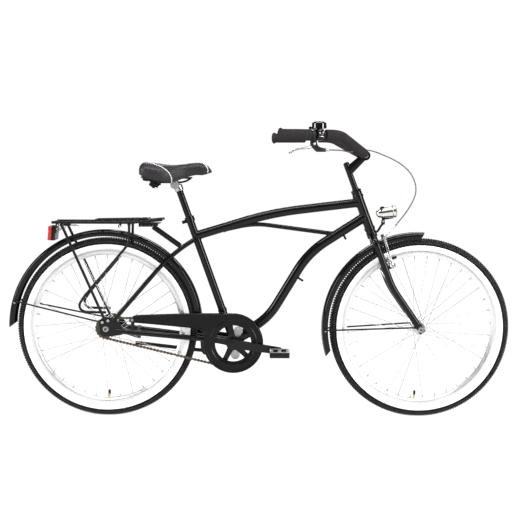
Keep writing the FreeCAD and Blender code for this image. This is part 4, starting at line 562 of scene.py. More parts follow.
def tyre(name, body, c, stands_for):
    """Knobbly tread over a smooth casing, with a broad white wall that tucks into the rim."""
    k = Kit()
    put = wheel_place(c)
    major = 304.5

    def on(phi, r):
        return (major + r * math.cos(rad(phi)), r * math.sin(rad(phi)))

    crown = [on(f, 22.4) for f in (-62, -54, -46, -36, -26, -16, -8, 0, 8, 16, 26, 36, 46, 54, 62)]
    for s in (-1, 1):
        wall = [on(s * 62, 22.4), on(s * 67, 23.2), on(s * 74, 24.8), on(s * 86.6, 25.0)]
        k.add(rev(wall, 260), TREAD, put)
        white = [on(s * 86.6, 25.0), on(s * 87.4, 25.3), on(s * 89.2, 25.3), on(s * 90.4, 24.95), on(s * 93, 24.95), on(s * 101, 24.9), on(s * 112, 24.6), on(s * 116, 24.9),
                 on(s * 119, 24.8), on(s * 121, 24.2), (290.6, s * 20.0), (288.6, s * 17.0), (287.0, s * 14.2), (285.6, s * 12.4)]
        k.add(rev(white, 260), WHITEWALL, put)
    k.add(rev(crown, 260), TREAD, put)
    count = 222

    def knob(theta, half, f0, f1, low, high):
        out = []
        mid_f, half_f = (f0 + f1) / 2, (f1 - f0) / 2
        for r, s in ((low, 1.0), (high, 0.80)):
            for dt, df in ((-1, -1), (1, -1), (1, 1), (-1, 1)):
                t = theta + dt * half * s
                f = rad(mid_f + df * half_f * s)
                big = major + r * math.cos(f)
                out.append(Vector((big * math.cos(t), big * math.sin(t), r * math.sin(f))))
        return out, [[4, 5, 6, 7], [0, 1, 5, 4], [1, 2, 6, 5], [2, 3, 7, 6], [3, 0, 4, 7]]

    step = 2 * PI / count
    for i in range(count):
        t = i * step
        # knobs in the lighter copy of the tyre rubber (painted light)
        for f0, f1 in ((-9, 9), (-31, -14), (14, 31)):
            k.add(knob(t, step * 0.34, f0, f1, 22.0, 27.0), KNOB_PAINTED_LIGHT, put)
        t += step * 0.5
        for s in (-1, 1):
            f0, f1 = (36, 50) if i % 2 else (38, 52)
            k.add(knob(t, step * 0.34, min(s * f0, s * f1), max(s * f0, s * f1), 22.0, 26.3), KNOB_PAINTED_LIGHT, put)
            g0, g1 = (56, 70) if i % 2 else (57, 74)
            k.add(knob(t + step * 0.5, step * 0.33, min(s * g0, s * g1), max(s * g0, s * g1), 22.0, 26.2), KNOB_PAINTED_LIGHT, put)
    return k.make(name, body, stands_for, 30.0)


def rim(name, body, c, stands_for, valve_turn):
    """Box-section alloy rim with rolled flanges, and the valve."""
    k = Kit()
    put = wheel_place(c)
    half = [(265.4, 0.0), (265.6, 4.5), (266.4, 7.2), (269.0, 9.0), (273.6, 11.6), (275.2, 12.4), (276.4, 12.5), (284.6, 12.5), (285.8, 12.3), (286.3, 11.7), (285.8, 11.1),
            (283.0, 10.9), (281.0, 10.3), (280.0, 8.5), (279.2, 4.0), (279.0, 0.0)]
    outline = half + [(r, -y) for r, y in reversed(half[1:-1])]
    k.add(rev(outline, 220, closed=True), RIM, put)
    va = rad(valve_turn)
    out = Vector((math.cos(va), 0, math.sin(va)))
    stem = at(c + out * 267.0, -out)
    k.add(rev([(0, 0), (5.2, 0.0), (5.2, 2.0), (3.6, 2.6), (3.0, 3.4), (3.0, 15.5), (0, 15.5)], 20), BRASS, stem)
    cap = [(0, 15.0), (3.9, 15.0), (4.3, 16.0), (4.3, 27.5), (3.4, 30.5), (0, 31.2)]
    k.add(rev(cap, 20), PLASTIC, stem)
    return k.make(name, body, stands_for, 35.0)


def spokes(name, body, c, flange_r, flange_y, turn, stands_for):
    """36 spokes, three cross: bent heads at the flange, tapered nipples at the rim."""
    k = Kit()
    for s in (-1, 1):
        for i in range(18):
            ha = rad(20 * i + (10 if s > 0 else 0) + turn)
            lead = 1 if i % 2 == 0 else -1
            ra = ha + rad(60 * lead)
            y0 = s * (flange_y + lead * 2.4)
            a = c + Vector((flange_r * math.cos(ha), y0, flange_r * math.sin(ha)))
            b = c + Vector((269.0 * math.cos(ra), s * 2.0, 269.0 * math.sin(ra)))
            d = (b - a).normalized()
            inner = c + Vector((flange_r * math.cos(ha), s * (flange_y - lead * 3.1), flange_r * math.sin(ha)))
            k.add(sweep([inner, a - Vector((0, s * lead * 0.5, 0)), a + d * 1.2, a + d * 4.0, b - d * 13.0], 1.0, 8), SPOKE)
            k.add(rev([(0, 0.0), (1.9, 0.0), (2.0, 0.5), (1.3, 1.4), (0, 1.5)], 12), SPOKE, at(inner, Vector((0, -s * lead, 0))))
            k.add(sweep([b - d * 14.5, b - d * 13.6, b - d * 6.5, b - d * 5.5, b - d * 1.0], [1.35, 1.85, 1.9, 2.5, 2.6], 10), NIPPLE)
    return k.make(name, body, stands_for, 40.0)


tyre("front_tyre_tread", "front_wheel", FRONT, ["front_tyre"])
tyre("rear_tyre_tread", "rear_wheel", REAR, ["rear_tyre"])
rim("front_rim_alloy", "front_wheel", FRONT, ["front_rim"], 267.0)
rim("rear_rim_alloy", "rear_wheel", REAR, ["rear_rim"], 271.0)
spokes("front_spoke_set", "front_wheel", FRONT, 19.5, 32.0, 4.0, ["front_spokes"])
spokes("rear_spoke_set", "rear_wheel", REAR, 29.5, 27.0, 0.0, ["rear_spokes"])

k = Kit()
half = [(4.85, 47.0), (8.2, 47.0), (9.0, 46.2), (9.2, 40.0), (10.6, 38.4), (13.4, 36.5), (15.0, 34.4), (21.8, 34.0), (23.0, 33.2), (23.0, 30.8), (21.8, 30.2), (15.2, 29.0), (13.2, 25.0), (12.4, 14.0), (12.2, 0.0)]
profile = half + [(r, -y) for r, y in reversed(half[:-1])]
k.add(rev(profile, 56), ALLOY, wheel_place(FRONT))
k.make("front_hub_shell", "front_wheel", ["front_hub"], 40.0)
k = Kit()
profile = [(4.85, -38.0), (15.2, -38.0), (16.0, -37.2), (17.5, -34.5), (20.5, -32.8), (23.5, -29.5), (31.8, -28.9), (33.0, -28.0), (33.0, -26.0), (31.8, -25.4), (25.5, -24.0), (25.0, -21.0), (26.8, -16.0), (27.0, -6.0),
           (26.4, -4.0), (26.4, 4.0), (27.0, 6.0), (27.0, 20.0), (27.6, 24.0), (31.8, 25.2), (33.0, 26.0), (33.0, 28.2), (31.8, 28.9), (28.0, 30.0), (27.0, 33.0), (27.0, 41.0), (25.4, 44.4), (23.0, 46.0), (4.85, 46.0)]
k.add(rev(profile, 64), ALLOY, wheel_place(REAR))
k.make("rear_hub_shell", "rear_wheel", ["rear_hub"], 40.0)

# ---------------------------------------------------------------- fenders
def fender(name, body, c, radius, first, last, slant, stands_for, clips):
    """A pressed-steel fender: round crown, straight skirts with a rolled hem, slanted ends."""
    k = Kit()
    outer = []
    for i in range(13):
        t = i / 12.0 * PI / 2
        outer.append((29.0 * math.sin(t) ** 0.9 if t else 0.0, -11.5 * (1 - math.cos(t))))
    outer += [(29.0, -15.0), (29.0, -23.0), (28.7, -24.1), (27.9, -24.4), (27.0, -24.0), (26.9, -23.0), (27.6, -22.4)]
    inner = [(27.6, -15.0)] + [(y * 27.6 / 29.0, d - 1.5) for y, d in reversed(outer[:13])]
    half = outer + inner
    loop = half[:-1] + [half[-1]] + [(-y, d) for y, d in reversed(half[:-1]) if y > 1e-6]
    n = 110
    verts, faces = [], []
    m = len(loop)
    for i in range(n + 1):
        f = i / n
        for y, d in loop:
            a0 = first + slant[0] * (-d / 21.0)
            a1 = last + slant[1] * (-d / 21.0)
            a = rad(a0 + (a1 - a0) * f)
            verts.append(c + Vector(((radius + d) * math.cos(a), y, (radius + d) * math.sin(a))))
    for i in range(n):
        for j in range(m):
            faces.append([i * m + j, i * m + (j + 1) % m, (i + 1) * m + (j + 1) % m, (i + 1) * m + j])
    faces.append(list(range(m))[::-1])
    faces.append([n * m + j for j in range(m)])
    k.add((verts, faces), PAINT)
    for a, y in clips:
        q = c + Vector(((radius - 15.0) * math.cos(rad(a)), y, (radius - 15.0) * math.sin(rad(a))))
        out = Vector((0, 1 if y > 0 else -1, 0))
        along = Vector((-math.sin(rad(a)), 0, math.cos(rad(a))))
        k.add(block(17.0, 9.0, 1.2, 0.5), SATIN, at(q + out * 0.7, out, along))
        k.add(dome_head(3.4, 2.6, 1.5), STEEL, at(q + out * 1.3 + along * 3.5, out))
        k.add(sweep([q + out * 3.3 - along * 6.0, q + out * 3.3 + along * 1.0], 3.3, 12), SATIN)
    return k.make(name, body, stands_for, 42.0)


fender("rear_fender_shell", "frame", Vector((-6.0, 0, 331.5)), 358.0, 3.0, 181.0, (0.0, -2.7), ["rear_fender"], [(164.6, -29.0), (164.6, 29.0)])
fender("front_fender_shell", "steering", Vector((1142.0, 0, 328.5)), 354.5, 86.5, 197.5, (1.9, -2.7), ["front_fender"], [(181.2, -29.0), (181.2, 29.0)])

# ---------------------------------------------------------------- drive train
BB = Vector((464.0, 0, 277.0))
CL = 45.0
R1, R2 = 36.57, 93.05
LINK = BB - REAR
DIST = LINK.length
BASE = math.atan2(LINK.z, LINK.x)
TILT = math.acos((R1 - R2) / DIST)
TOP_A, LOW_A = BASE + TILT, BASE - TILT


def round_at(c, r, a):
    return Vector((c.x + r * math.cos(a), -CL, c.z + r * math.sin(a)))


RUN = (round_at(BB, R2, TOP_A) - round_at(REAR, R1, TOP_A)).length
WRAP2, WRAP1 = 2 * TILT, 2 * PI - 2 * TILT
LOOP = 2 * RUN + R2 * WRAP2 + R1 * WRAP1


def chain_point(s):
    s = s % LOOP
    if s < RUN:
        return round_at(REAR, R1, TOP_A).lerp(round_at(BB, R2, TOP_A), s / RUN)
    s -= RUN
    if s < R2 * WRAP2:
        return round_at(BB, R2, TOP_A - s / R2)
    s -= R2 * WRAP2
    if s < RUN:
        return round_at(BB, R2, LOW_A).lerp(round_at(REAR, R1, LOW_A), s / RUN)
    s -= RUN
    return round_at(REAR, R1, LOW_A - s / R1)


t2, t1 = 2 * PI / 46, 2 * PI / 18
k2, k1 = int(TILT / t2), int((PI - TILT) / t1)
ring_spots = [RUN + R2 * (TOP_A - BASE - i * t2) for i in range(k2, -k2 - 1, -1)]
back_spots = [2 * RUN + R2 * WRAP2 + R1 * (LOW_A - (BASE - PI) - i * t1) for i in range(k1, -k1 - 1, -1)]
pins = list(ring_spots)
for a, b, more in ((ring_spots[-1], back_spots[0], back_spots), (back_spots[-1], ring_spots[0] + LOOP, [])):
    n = round((b - a) / 12.7)
    pins += [a + (b - a) * i / n for i in range(1, n)] + more
pins = [chain_point(s) for s in pins]

k = Kit()
for i, a in enumerate(pins):
    b = pins[(i + 1) % len(pins)]
    d = b - a
    length = d.length
    outline = circle(0, 0, 4.8, 10, 50, 310) + [(length * 0.5, -1.9)] + circle(length, 0, 4.8, 10, -130, 130) + [(length * 0.5, 1.9)]
    wide = 3.05 if i % 2 else 1.95
    for s in (-1, 1):
        o = a + Vector((0, s * wide if s > 0 else s * (wide + 1.0), 0))
        k.add(prism(outline, 1.0, 0.22, 1), BRONZE, at(o, (0, 1, 0), d))
    k.add(rev([(0, -4.6), (1.7, -4.6), (1.9, -4.3), (1.9, 4.3), (1.7, 4.6), (0, 4.6)], 10), DARK_STEEL, at(a, (0, 1, 0)))
    k.add(rev([(1.5, -1.9), (3.7, -1.9), (3.85, -1.6), (3.85, 1.6), (3.7, 1.9), (1.5, 1.9)], 14), BRONZE, at(a, (0, 1, 0)))
k.make("chain_links", "frame", ["chain"], 40.0)


def toothed(teeth, pitch, inner, thick, phase):
    """A sprocket's rounded teeth on a flat ring."""
    step = 2 * PI / teeth
    pts = []
    for i in range(teeth):
        c0 = phase + i * step
        for j in range(7):
            g = -1 + 2 * j / 6
            a = c0 + g * 4.15 / pitch
            dip = math.sqrt(max(0.0, 1 - g * g)) * 4.15
            pts.append(((pitch - dip) * math.cos(a), (pitch - dip) * math.sin(a)))
        for g, up in ((0.36, 1.9), (0.5, 2.6), (0.64, 1.9)):
            a = c0 + step * g
            pts.append(((pitch + up) * math.cos(a), (pitch + up) * math.sin(a)))
    n = len(pts)
    rings = []
    for y, s in ((thick / 2, 0.0), (thick / 2, 1.0), (-thick / 2, 1.0), (-thick / 2, 0.0)):
        ring = []
        for x, z in pts:
            r = math.hypot(x, z)
            q = inner / r if s == 0.0 else 1.0
            ring.append(Vector((x * q, y, z * q)))
        rings.append(ring)
    verts = [v for r in rings for v in r]
    faces = []
    for i in range(4):
        for j in range(n):
            faces.append([i * n + j, i * n + (j + 1) % n, ((i + 1) % 4) * n + (j + 1) % n, ((i + 1) % 4) * n + j])
    return verts, faces


k = Kit()
put = Matrix.Translation(BB + Vector((0, -CL, 0)))
k.add(toothed(46, R2, 70.0, 2.8, BASE), DARK_STEEL, put)
# five broad arms from a hub disc, each with a bolt
for i in range(5):
    a = 100.0 - 144.0 + 72.0 * i
    arm = at(BB + Vector((0, -46.45, 0)), (0, -1, 0), (math.cos(rad(a)), 0, math.sin(rad(a))))
    k.add(prism([(15, -13.0), (34, -10.6), (52, -9.7), (74, -9.9), (79, -8.2), (80.5, 0), (79, 8.2), (74, 9.9), (52, 9.7), (34, 10.6), (15, 13.0)], 4.6, 1.3, 3), SATIN, arm)
    k.add(dome_head(4.2, 2.0, 1.9), DARK_STEEL, arm @ Matrix.Translation((73.5, 0, 4.4)))
k.add(rev([(13.5, 0.0), (27.0, 0.0), (27.0, 4.0), (25.6, 5.4), (20.0, 6.2), (13.5, 6.4)], 56), SATIN, at(BB + Vector((0, -46.45, 0)), (0, -1, 0)))
k.make("chainring_spider", "crank", ["chainring"], 35.0)

k = Kit()
put = Matrix.Translation(REAR + Vector((0, -CL, 0)))
k.add(toothed(18, R1, 12.0, 2.8, BASE + PI), DARK_STEEL, put)
k.add(rev([(4.9, -48.6), (11.5, -48.6), (13.6, -47.8), (15.0, -46.5), (15.0, -38.4), (4.9, -38.4)], 40), DARK_STEEL, at(REAR, (0, 1, 0)))
for i in range(6):
    a = rad(60 * i + 12)
    k.add(rev([(0, 0.0), (4.0, 0.0), (4.0, 0.25), (0, 0.25)], 16), DARK_STEEL, at(REAR + Vector((23.5 * math.cos(a), -CL - 1.42, 23.5 * math.sin(a))), (0, -1, 0)))
k.make("rear_sprocket_teeth", "sprocket", ["rear_sprocket"], 35.0)

DROP = rad(8.5)
FWD_C = Vector((math.cos(DROP), 0, -math.sin(DROP)))
k = Kit()
k.add(sweep([BB + Vector((0, y, 0)) for y in (-77, -68, 68, 77)], 8.5, 24), DARK_STEEL)
for s in (-1, 1):
    d = FWD_C * (-s)
    arm = at(BB + Vector((0, s * 64.0, 0)), (0, s, 0), d)
    hub = circle(0, 0, 17.0, 30, 96, 264)
    eye = circle(170.0, 0, 12.8, 26, -92, 92)
    k.add(prism(hub + eye, 13.0, 3.2, 4), PAINT, arm)
    k.add(rev([(0, 12.0), (10.6, 12.0), (10.6, 13.6), (9.6, 15.2), (4.0, 15.8), (0, 15.9)], 32), PLASTIC, arm)
    k.add(rev([(11.6, 12.9), (13.6, 12.9), (13.2, 13.7), (11.9, 13.7)], 36, closed=True), PAINT, arm)
    k.add(rev([(8.5, -18.0), (13.5, -18.0), (13.5, 0.0), (15.5, 1.0), (8.5, 1.0)] if s < 0 else [(8.5, -10.0), (13.5, -10.0), (13.5, 0.0), (15.5, 1.0), (8.5, 1.0)], 32), PAINT, arm)
    end = BB + d * 170.0
    k.add(rev([(0, -2.0), (6.4, -2.0), (6.9, -1.4), (6.9, 0.0), (5.0, 0.0), (5.0, 98.0), (0, 98.0)], 24), DARK_STEEL, at(end + Vector((0, s * 70.0, 0)), (0, s, 0)))
    k.add(nut(16.0, 4.6), DARK_STEEL, at(end + Vector((0, s * 77.0, 0)), (0, s, 0)))
k.make("crank_set", "crank", ["crank_arms"], 40.0)


def pedal(name, body, s, stands_for):
    """Black resin block with silver tread plates above and below, and a round nose cap at the outer end."""
    k = Kit()
    end = BB + FWD_C * (-s) * 170.0
    c = end + Vector((0, s * 127.0, 0))
    put = at(c, (0, 0, 1), (1, 0, 0))
    k.add(rev([(5.1, -44.0), (9.2, -44.0), (9.8, -43.0), (9.8, -20.0), (8.2, -14.0), (8.2, 14.0), (9.8, 20.0), (9.8, 43.0), (9.2, 44.0), (5.1, 44.0)], 28), DULL, at(c, (0, s, 0)))
    for e in (-1, 1):
        y = e * 40.0
        k.add(block(70.0, 8.5, 18.4, 2.2, 3), DULL, put @ Matrix.Translation((0, y, 0)))
        # ribbed end face with small dark recess bars and a raised middle pad
        for x in (-27.0, -18.0, 18.0, 27.0):
            for z in (-5.0, 1.0, 7.0):
                k.add(block(5.2, 1.0, 3.2, 0.4, 1), RUBBER, put @ Matrix.Translation((x, e * 44.4, z - 0.8)))
        k.add(block(22.0, 2.2, 15.0, 0.9, 2), SATIN, put @ Matrix.Translation((0, e * 44.6, 0)))
    for x in (-1, 1):
        k.add(block(5.4, 74.0, 17.0, 1.4, 2), DULL, put @ Matrix.Translation((x * 31.0, 0, 0)))
        for i in range(9):
            k.add(block(3.0, 4.0, 19.0, 0.8, 1), DULL, put @ Matrix.Translation((x * 34.2, -32.0 + 8.0 * i, 0)))
    # tread plates with two windows each, above and below
    for e in (-1, 1):
        z = e * 9.9
        for x in (-1, 1):
            k.add(block(12.5, 88.0, 1.3, 0.5, 2), BLADE, put @ Matrix.Translation((x * 29.0, 0, z)))
            for i in range(10):
                k.add(rev([(2.0, 0.0), (1.5, 1.1), (0.9, 1.4), (0, 1.5)], 10), BLADE, put @ at((x * 31.5, -36.0 + 8.0 * i, z + e * 0.5), (0, 0, e)))
        for y in (-38.5, 38.5):
            k.add(block(46.0, 11.0, 1.3, 0.5, 2), BLADE, put @ Matrix.Translation((0, y, z)))
        k.add(block(13.0, 70.0, 1.3, 0.5, 2), BLADE, put @ Matrix.Translation((0, 0, z)))
    return k.make(name, body, stands_for, 40.0)


pedal("pedal_right_block", "pedal_r", -1, ["pedal_right"])
pedal("pedal_left_block", "pedal_l", 1, ["pedal_left"])


# chain guard: moulded shell, a disc with a stepped window and a long tail
def guard_line(grow):
    r = 110.0 + grow
    pts = [(464.0 - 4.0, 277.0 + r)]
    tail = [(390, 387.2), (330, 387.0), (285, 386.2), (200, 383.2), (130, 380.4), (108, 379.0), (100, 376.4), (93, 369.5), (84.5, 359.5), (82.6, 356.8), (84.0, 355.2), (98, 352.2), (112, 350.6),
            (170, 345.6), (229, 340.0), (280, 335.4), (316, 331.6), (332, 329.0), (345, 323.4), (353.5, 316.0), (358.0, 308.5)]
    out = []
    n = len(tail)
    for i, (x, z) in enumerate(tail):
        a = tail[i - 1] if i else pts[0]
        b = tail[i + 1] if i + 1 < n else (464.0 + 110.0 * math.cos(rad(166)), 277.0 + 110.0 * math.sin(rad(166)))
        dx, dz = b[0] - a[0], b[1] - a[1]
        w = math.hypot(dx, dz)
        out.append((x - dz / w * -grow, z + dx / w * -grow))
    disc = [(464.0 + r * math.cos(rad(a)), 277.0 + r * math.sin(rad(a))) for a in range(166, 449, 3)]
    return out + disc


k = Kit()
levels = [(-10.0, -61.2), (-8.4, -62.3), (-6.4, -62.7), (-4.6, -62.5), (-2.4, -61.3), (-0.7, -59.4), (0.0, -57.0), (0.0, -50.5), (-2.2, -50.5), (-2.2, -59.4)]
rings = [[Vector((x, y, z)) for x, z in guard_line(g)] for g, y in levels]
k.add(loft(rings, caps=False), GUARD)
n = len(rings[0])
hole_front = [(87.4, -61.2), (86.4, -61.7), (84.6, -63.1), (83.6, -63.4), (82.2, -63.4), (81.2, -62.9), (79.0, -60.8), (78.0, -60.5), (70.0, -60.5), (68.0, -60.3), (66.6, -59.9), (66.0, -59.4)]
hole = rev([(r, y) for r, y in hole_front], 96)
k.add(hole, GUARD, Matrix.Translation((464.0, 0, 277.0)) @ Matrix.Rotation(rad(90), 4, "X") @ Matrix.Scale(-1, 4, (0, 0, 1)))


def filled(outer, inner_r, y):
    """The flat face between an outline and a round hole."""
    bm = bmesh.new()
    for loop_pts in (outer, [(464.0 + inner_r * math.cos(2 * PI * i / 96), 277.0 + inner_r * math.sin(2 * PI * i / 96)) for i in range(96)]):
        vs = [bm.verts.new((x, y, z)) for x, z in loop_pts]
        for i in range(len(vs)):
            bm.edges.new((vs[i], vs[(i + 1) % len(vs)]))
    bmesh.ops.triangle_fill(bm, use_beauty=True, use_dissolve=False, edges=bm.edges[:])
    return taken(bm)


k.add(filled(guard_line(-10.0), 87.4, -61.2), GUARD)
k.add(filled(guard_line(-2.2), 66.0, -59.4), GUARD)
# screw at the tail
k.add(dome_head(5.0, 3.0, 2.2), STEEL, at(Vector((96, -62.0, 362)), (0, -1, 0)))
k.make("chain_guard_shell", "frame", ["chain_guard"], 30.0)

# ---------------------------------------------------------------- saddle
def along(table, x):
    for (x0, v0), (x1, v1) in zip(table, table[1:]):
        if x <= x1:
            f = (x - x0) / (x1 - x0)
            return v0 + (v1 - v0) * f
    return table[-1][1]


WIDE = [(112.0, 34.0), (113.5, 56.0), (116.0, 74.0), (120.0, 86.0), (126.0, 94.5), (134.0, 100.0), (150.0, 104.5), (166.0, 105.0), (182.0, 103.0), (198.0, 98.5), (212.0, 93.0), (224.0, 86.5), (235.0, 78.5),
        (245.0, 70.5), (256.0, 61.5), (268.0, 52.5), (280.0, 45.0), (294.0, 38.5), (310.0, 34.0), (330.0, 30.5), (348.0, 28.0), (362.0, 25.2), (372.0, 21.5), (379.0, 16.0), (382.5, 10.5), (384.0, 5.0)]
CROWN = [(112.0, 908.0), (113.5, 915.0), (116.0, 921.0), (120.0, 927.0), (126.0, 932.0), (134.0, 935.5), (150.0, 936.8), (182.0, 932.5), (212.0, 928.8), (235.0, 927.0), (256.0, 927.2), (280.0, 929.2), (310.0, 932.6),
         (330.0, 934.4), (344.0, 934.2), (354.0, 932.2), (362.0, 928.6), (372.0, 920.6), (379.0, 911.6), (382.5, 906.0), (384.0, 902.0)]
FOOT = [(112.0, 893.0), (116.0, 890.5), (126.0, 887.0), (140.0, 883.5), (160.0, 876.8), (182.0, 869.5), (212.0, 864.5), (235.0, 862.6), (245.0, 863.0), (256.0, 867.0), (268.0, 872.5), (284.0, 878.0), (310.0, 885.5),
        (330.0, 890.2), (340.0, 888.4), (348.0, 886.8), (358.0, 889.6), (372.0, 894.5), (384.0, 898.5)]
# the rear corners of the wings are drawn in
WIDE, CROWN, FOOT = [[(160.0 - (160.0 - x) * 0.80 if x < 160.0 else x, v) for x, v in table] for table in (WIDE, CROWN, FOOT)]
stations = [x for x, _ in WIDE]
rings = []
for x in stations:
    w, top, foot = along(WIDE, x), along(CROWN, x), along(FOOT, x)
    wing = min(1.0, max(0.0, (w - 34.0) / 66.0))
    waist = foot + (top - foot) * (0.36 + 0.10 * (1 - wing))
    ring = []
    for i in range(33):
        t = PI * i / 32.0
        c, s = math.cos(t), math.sin(t)
        y = w * math.copysign(abs(c) ** (0.78 - 0.06 * wing), c)
        z = waist + (top - waist) * abs(s) ** (0.74 + 0.10 * (1 - wing))
        # a shallow channel runs back along the middle between the two wings
        z -= 5.0 * wing * math.exp(-(y / 17.0) ** 2)
        ring.append(Vector((x, y, z)))
    tuck = 0.945 - 0.10 * (1 - wing)
    hollow = max(foot + 1.2, 881.3)
    low = [(-0.992, waist - (waist - foot) * 0.35), (-0.975, waist - (waist - foot) * 0.72), (-tuck, foot), (-tuck + 3.2 / w, foot - 0.3), (-tuck + 6.0 / w, foot + 1.0), (-tuck + 6.6 / w, hollow), (-0.4, hollow)]
    for f, z in low:
        ring.append(Vector((x, w * f, z)))
    for f, z in reversed(low):
        ring.append(Vector((x, -w * f, z)))
    rings.append(ring)
k = Kit()
k.add(loft(rings), VINYL)
cushion = k.make("saddle_cover", "seat", ["saddle_cushion"], 180.0)
smooth = cushion.modifiers.new("soft", "SUBSURF")
smooth.levels = smooth.render_levels = 1

# white piping laid on the cover: round the wings, across the back, and over the nose
bpy.context.view_layer.update()
soft = cushion.evaluated_get(bpy.context.evaluated_depsgraph_get()).to_mesh()
tree = BVHTree.FromPolygons([Vector((v.co.x * 1000.0 - SX, v.co.y * 1000.0, v.co.z * 1000.0)) for v in soft.vertices], [list(f.vertices) for f in soft.polygons])
cushion.evaluated_get(bpy.context.evaluated_depsgraph_get()).to_mesh_clear()


def laid(points, steps, from_above):
    """A line on the cover under flat points: (X, Y) seen from above, or (X, Z) seen from the right side."""
    flat = spline([(a, b, 0.0) for a, b in points], "piping", steps)
    out = []
    for q in flat:
        if from_above:
            hit = tree.ray_cast(Vector((q.x, q.y, 1000.0)), Vector((0, 0, -1)))
        else:
            hit = tree.ray_cast(Vector((q.x, -300.0, q.y)), Vector((0, 1, 0)))
        if hit[0] is not None:
            out.append(hit[0] + hit[1] * 0.7)
    return out


side_line = laid([(241.0, 863.5), (242.5, 874.0), (240.0, 884.0), (231.5, 900.0), (214.0, 914.0), (196.0, 922.0), (188.0, 924.6)], 8, False)
x0, y0 = side_line[-1].x, side_line[-1].y
top_line = laid([(x0 - 2.0, y0 + 1.0), (x0 - 14.0, y0 + 10.0), (160.0, -58.0), (145.0, -42.0), (136.0, -22.0), (133.0, 0.0)], 8, True)
wing_line = side_line + top_line
wing_all = wing_line + [Vector((v.x, -v.y, v.z)) for v in reversed(wing_line[:-1])]
nose_line = laid([(369.5, 897.5), (371.0, 906.0), (368.5, 914.0), (364.0, 921.0)], 8, False)
x0, y0 = nose_line[-1].x, nose_line[-1].y
nose_top = laid([(x0 - 2.0, y0 + 1.2), (x0 - 7.0, y0 + 5.0), (351.0, -9.0), (350.0, 0.0)], 8, True)
nose_line = nose_line + nose_top
nose_all = nose_line + [Vector((v.x, -v.y, v.z)) for v in reversed(nose_line[:-1])]
k = Kit()
k.add(sweep(wing_all, 1.55, 8), PIPING)
k.add(sweep(nose_all, 1.4, 8), PIPING)
k.make("saddle_piping", "seat", (), 60.0)

k = Kit()
for s in (-1, 1):
    prof = [(0, 841.9), (5.0, 841.9), (5.6, 843.0), (5.6, 846.0), (9.6, 846.6), (9.8, 848.8), (14.2, 850.0), (16.6, 852.4), (17.0, 855.6), (15.8, 858.8), (12.8, 860.8), (12.6, 863.6), (15.6, 865.6), (17.0, 868.6), (17.0, 873.4), (16.0, 874.8), (0, 874.9)]
    k.add(rev(prof, 36), RUBBER, at(Vector((176.0, 58.0 * s, 0))))
    k.add(nut(9.0, 3.6), STEEL, at(Vector((176.0, 58.0 * s, 842.2)), (0, 0, -1)))
k.make("saddle_bumpers", "seat", ["saddle_elastomers"], 40.0)
k = Kit()
rings = []
for x, w, z in ((128.0, 40.0, 878.0), (131.0, 62.0, 877.4), (138.0, 78.0, 876.6), (156.0, 88.0, 875.4), (186.0, 88.0, 875.0), (214.0, 79.0, 875.0), (240.0, 58.0, 875.0), (268.0, 40.0, 875.0), (296.0, 25.0, 875.2), (308.0, 20.0, 875.8), (312.0, 14.0, 876.6)):
    rings.append([Vector((x, w * c, z + 3.0 + 2.9 * s_)) for c, s_ in ((-1, 0), (-0.96, -0.8), (-0.9, -1), (0.9, -1), (0.96, -0.8), (1, 0), (0.97, 1), (-0.97, 1))])
k.add(loft(rings), DULL)
k.add(block(22.0, 62.0, 6.0, 1.6, 2), DULL, Matrix.Translation((144.0, 0, 872.6)))
for s in (-1, 1):
    k.add(sweep([Vector((138, 28 * s, 871)), Vector((152, 42 * s, 870)), Vector((172, 56 * s, 873))], 4.0, 12), DULL)
k.make("saddle_base_pan", "seat", ["saddle_base"], 40.0)
# seat clamp: ridged washers on the cross bolt
k = Kit()
PIN = Vector((249.0, 0, 853.8))
for s in (-1, 1):
    for i in range(20):
        a = 2 * PI * i / 20
        k.add(block(1.6, 2.6, 3.4, 0.4, 1), STEEL, at(PIN + Vector((14.9 * math.cos(a), 22.3 * s, 14.9 * math.sin(a))), (0, 1, 0), (-math.sin(a), 0, math.cos(a))))
    k.add(rev([(4.0, 0.0), (10.5, 0.0), (10.5, 1.2), (9.8, 1.8), (4.0, 1.8)], 28), STEEL, at(PIN + Vector((0, 27.6 * s, 0)), (0, s, 0)))
k.make("saddle_clamp_teeth", "seat", (), 40.0)

# ---------------------------------------------------------------- bars
END, BEND, NECK = Vector((624.0, 300.0, 1031.0)), Vector((835.0, 220.0, 1031.0)), Vector((943.0, 42.0, 962.0))
D1, D2 = (BEND - END).normalized(), (NECK - BEND).normalized()


def on_side(v, s):
    return Vector((v.x, v.y * s, v.z))


def on_grip(x, s):
    return on_side(END + (BEND - END) * ((x - 624.0) / 211.0), s)


k = Kit()
for s in (-1, 1):
    full = spline([on_side(v, s) for v in (END, BEND - D1 * 65.6, BEND, BEND + D2 * 65.6, NECK)], "bar", 24)
    run = [v for v in full if v.x > 785.5]
    run = [on_grip(785.0, s)] + [v for v in run if (v - on_side(NECK, s)).length > 13.0]
    dense = []
    for a, b in zip(run, run[1:]):
        n = max(1, int((b - a).length / 7.0))
        dense += [a.lerp(b, i / n) for i in range(n)]
    dense.append(run[-1])
    lead = [dense[0] + (dense[1] - dense[0]).normalized() * d for d in (0.0, 0.8, 2.2)]
    trail = [dense[-1] - (dense[-1] - dense[-2]).normalized() * d for d in (2.4, 0.9, 0.0)]
    body_pts = [v for v in dense if (v - dense[0]).length > 4.0 and (v - dense[-1]).length > 4.0]
    pts = lead + body_pts + trail
    radii = [15.4, 17.2, 18.0] + [18.0] * len(body_pts) + [18.0, 17.2, 15.4]
    k.add(sweep(pts, radii, 36), FOAM)
foam = k.make("foam_sleeves", "steering", ["foam_grips"], 50.0)
k = Kit()
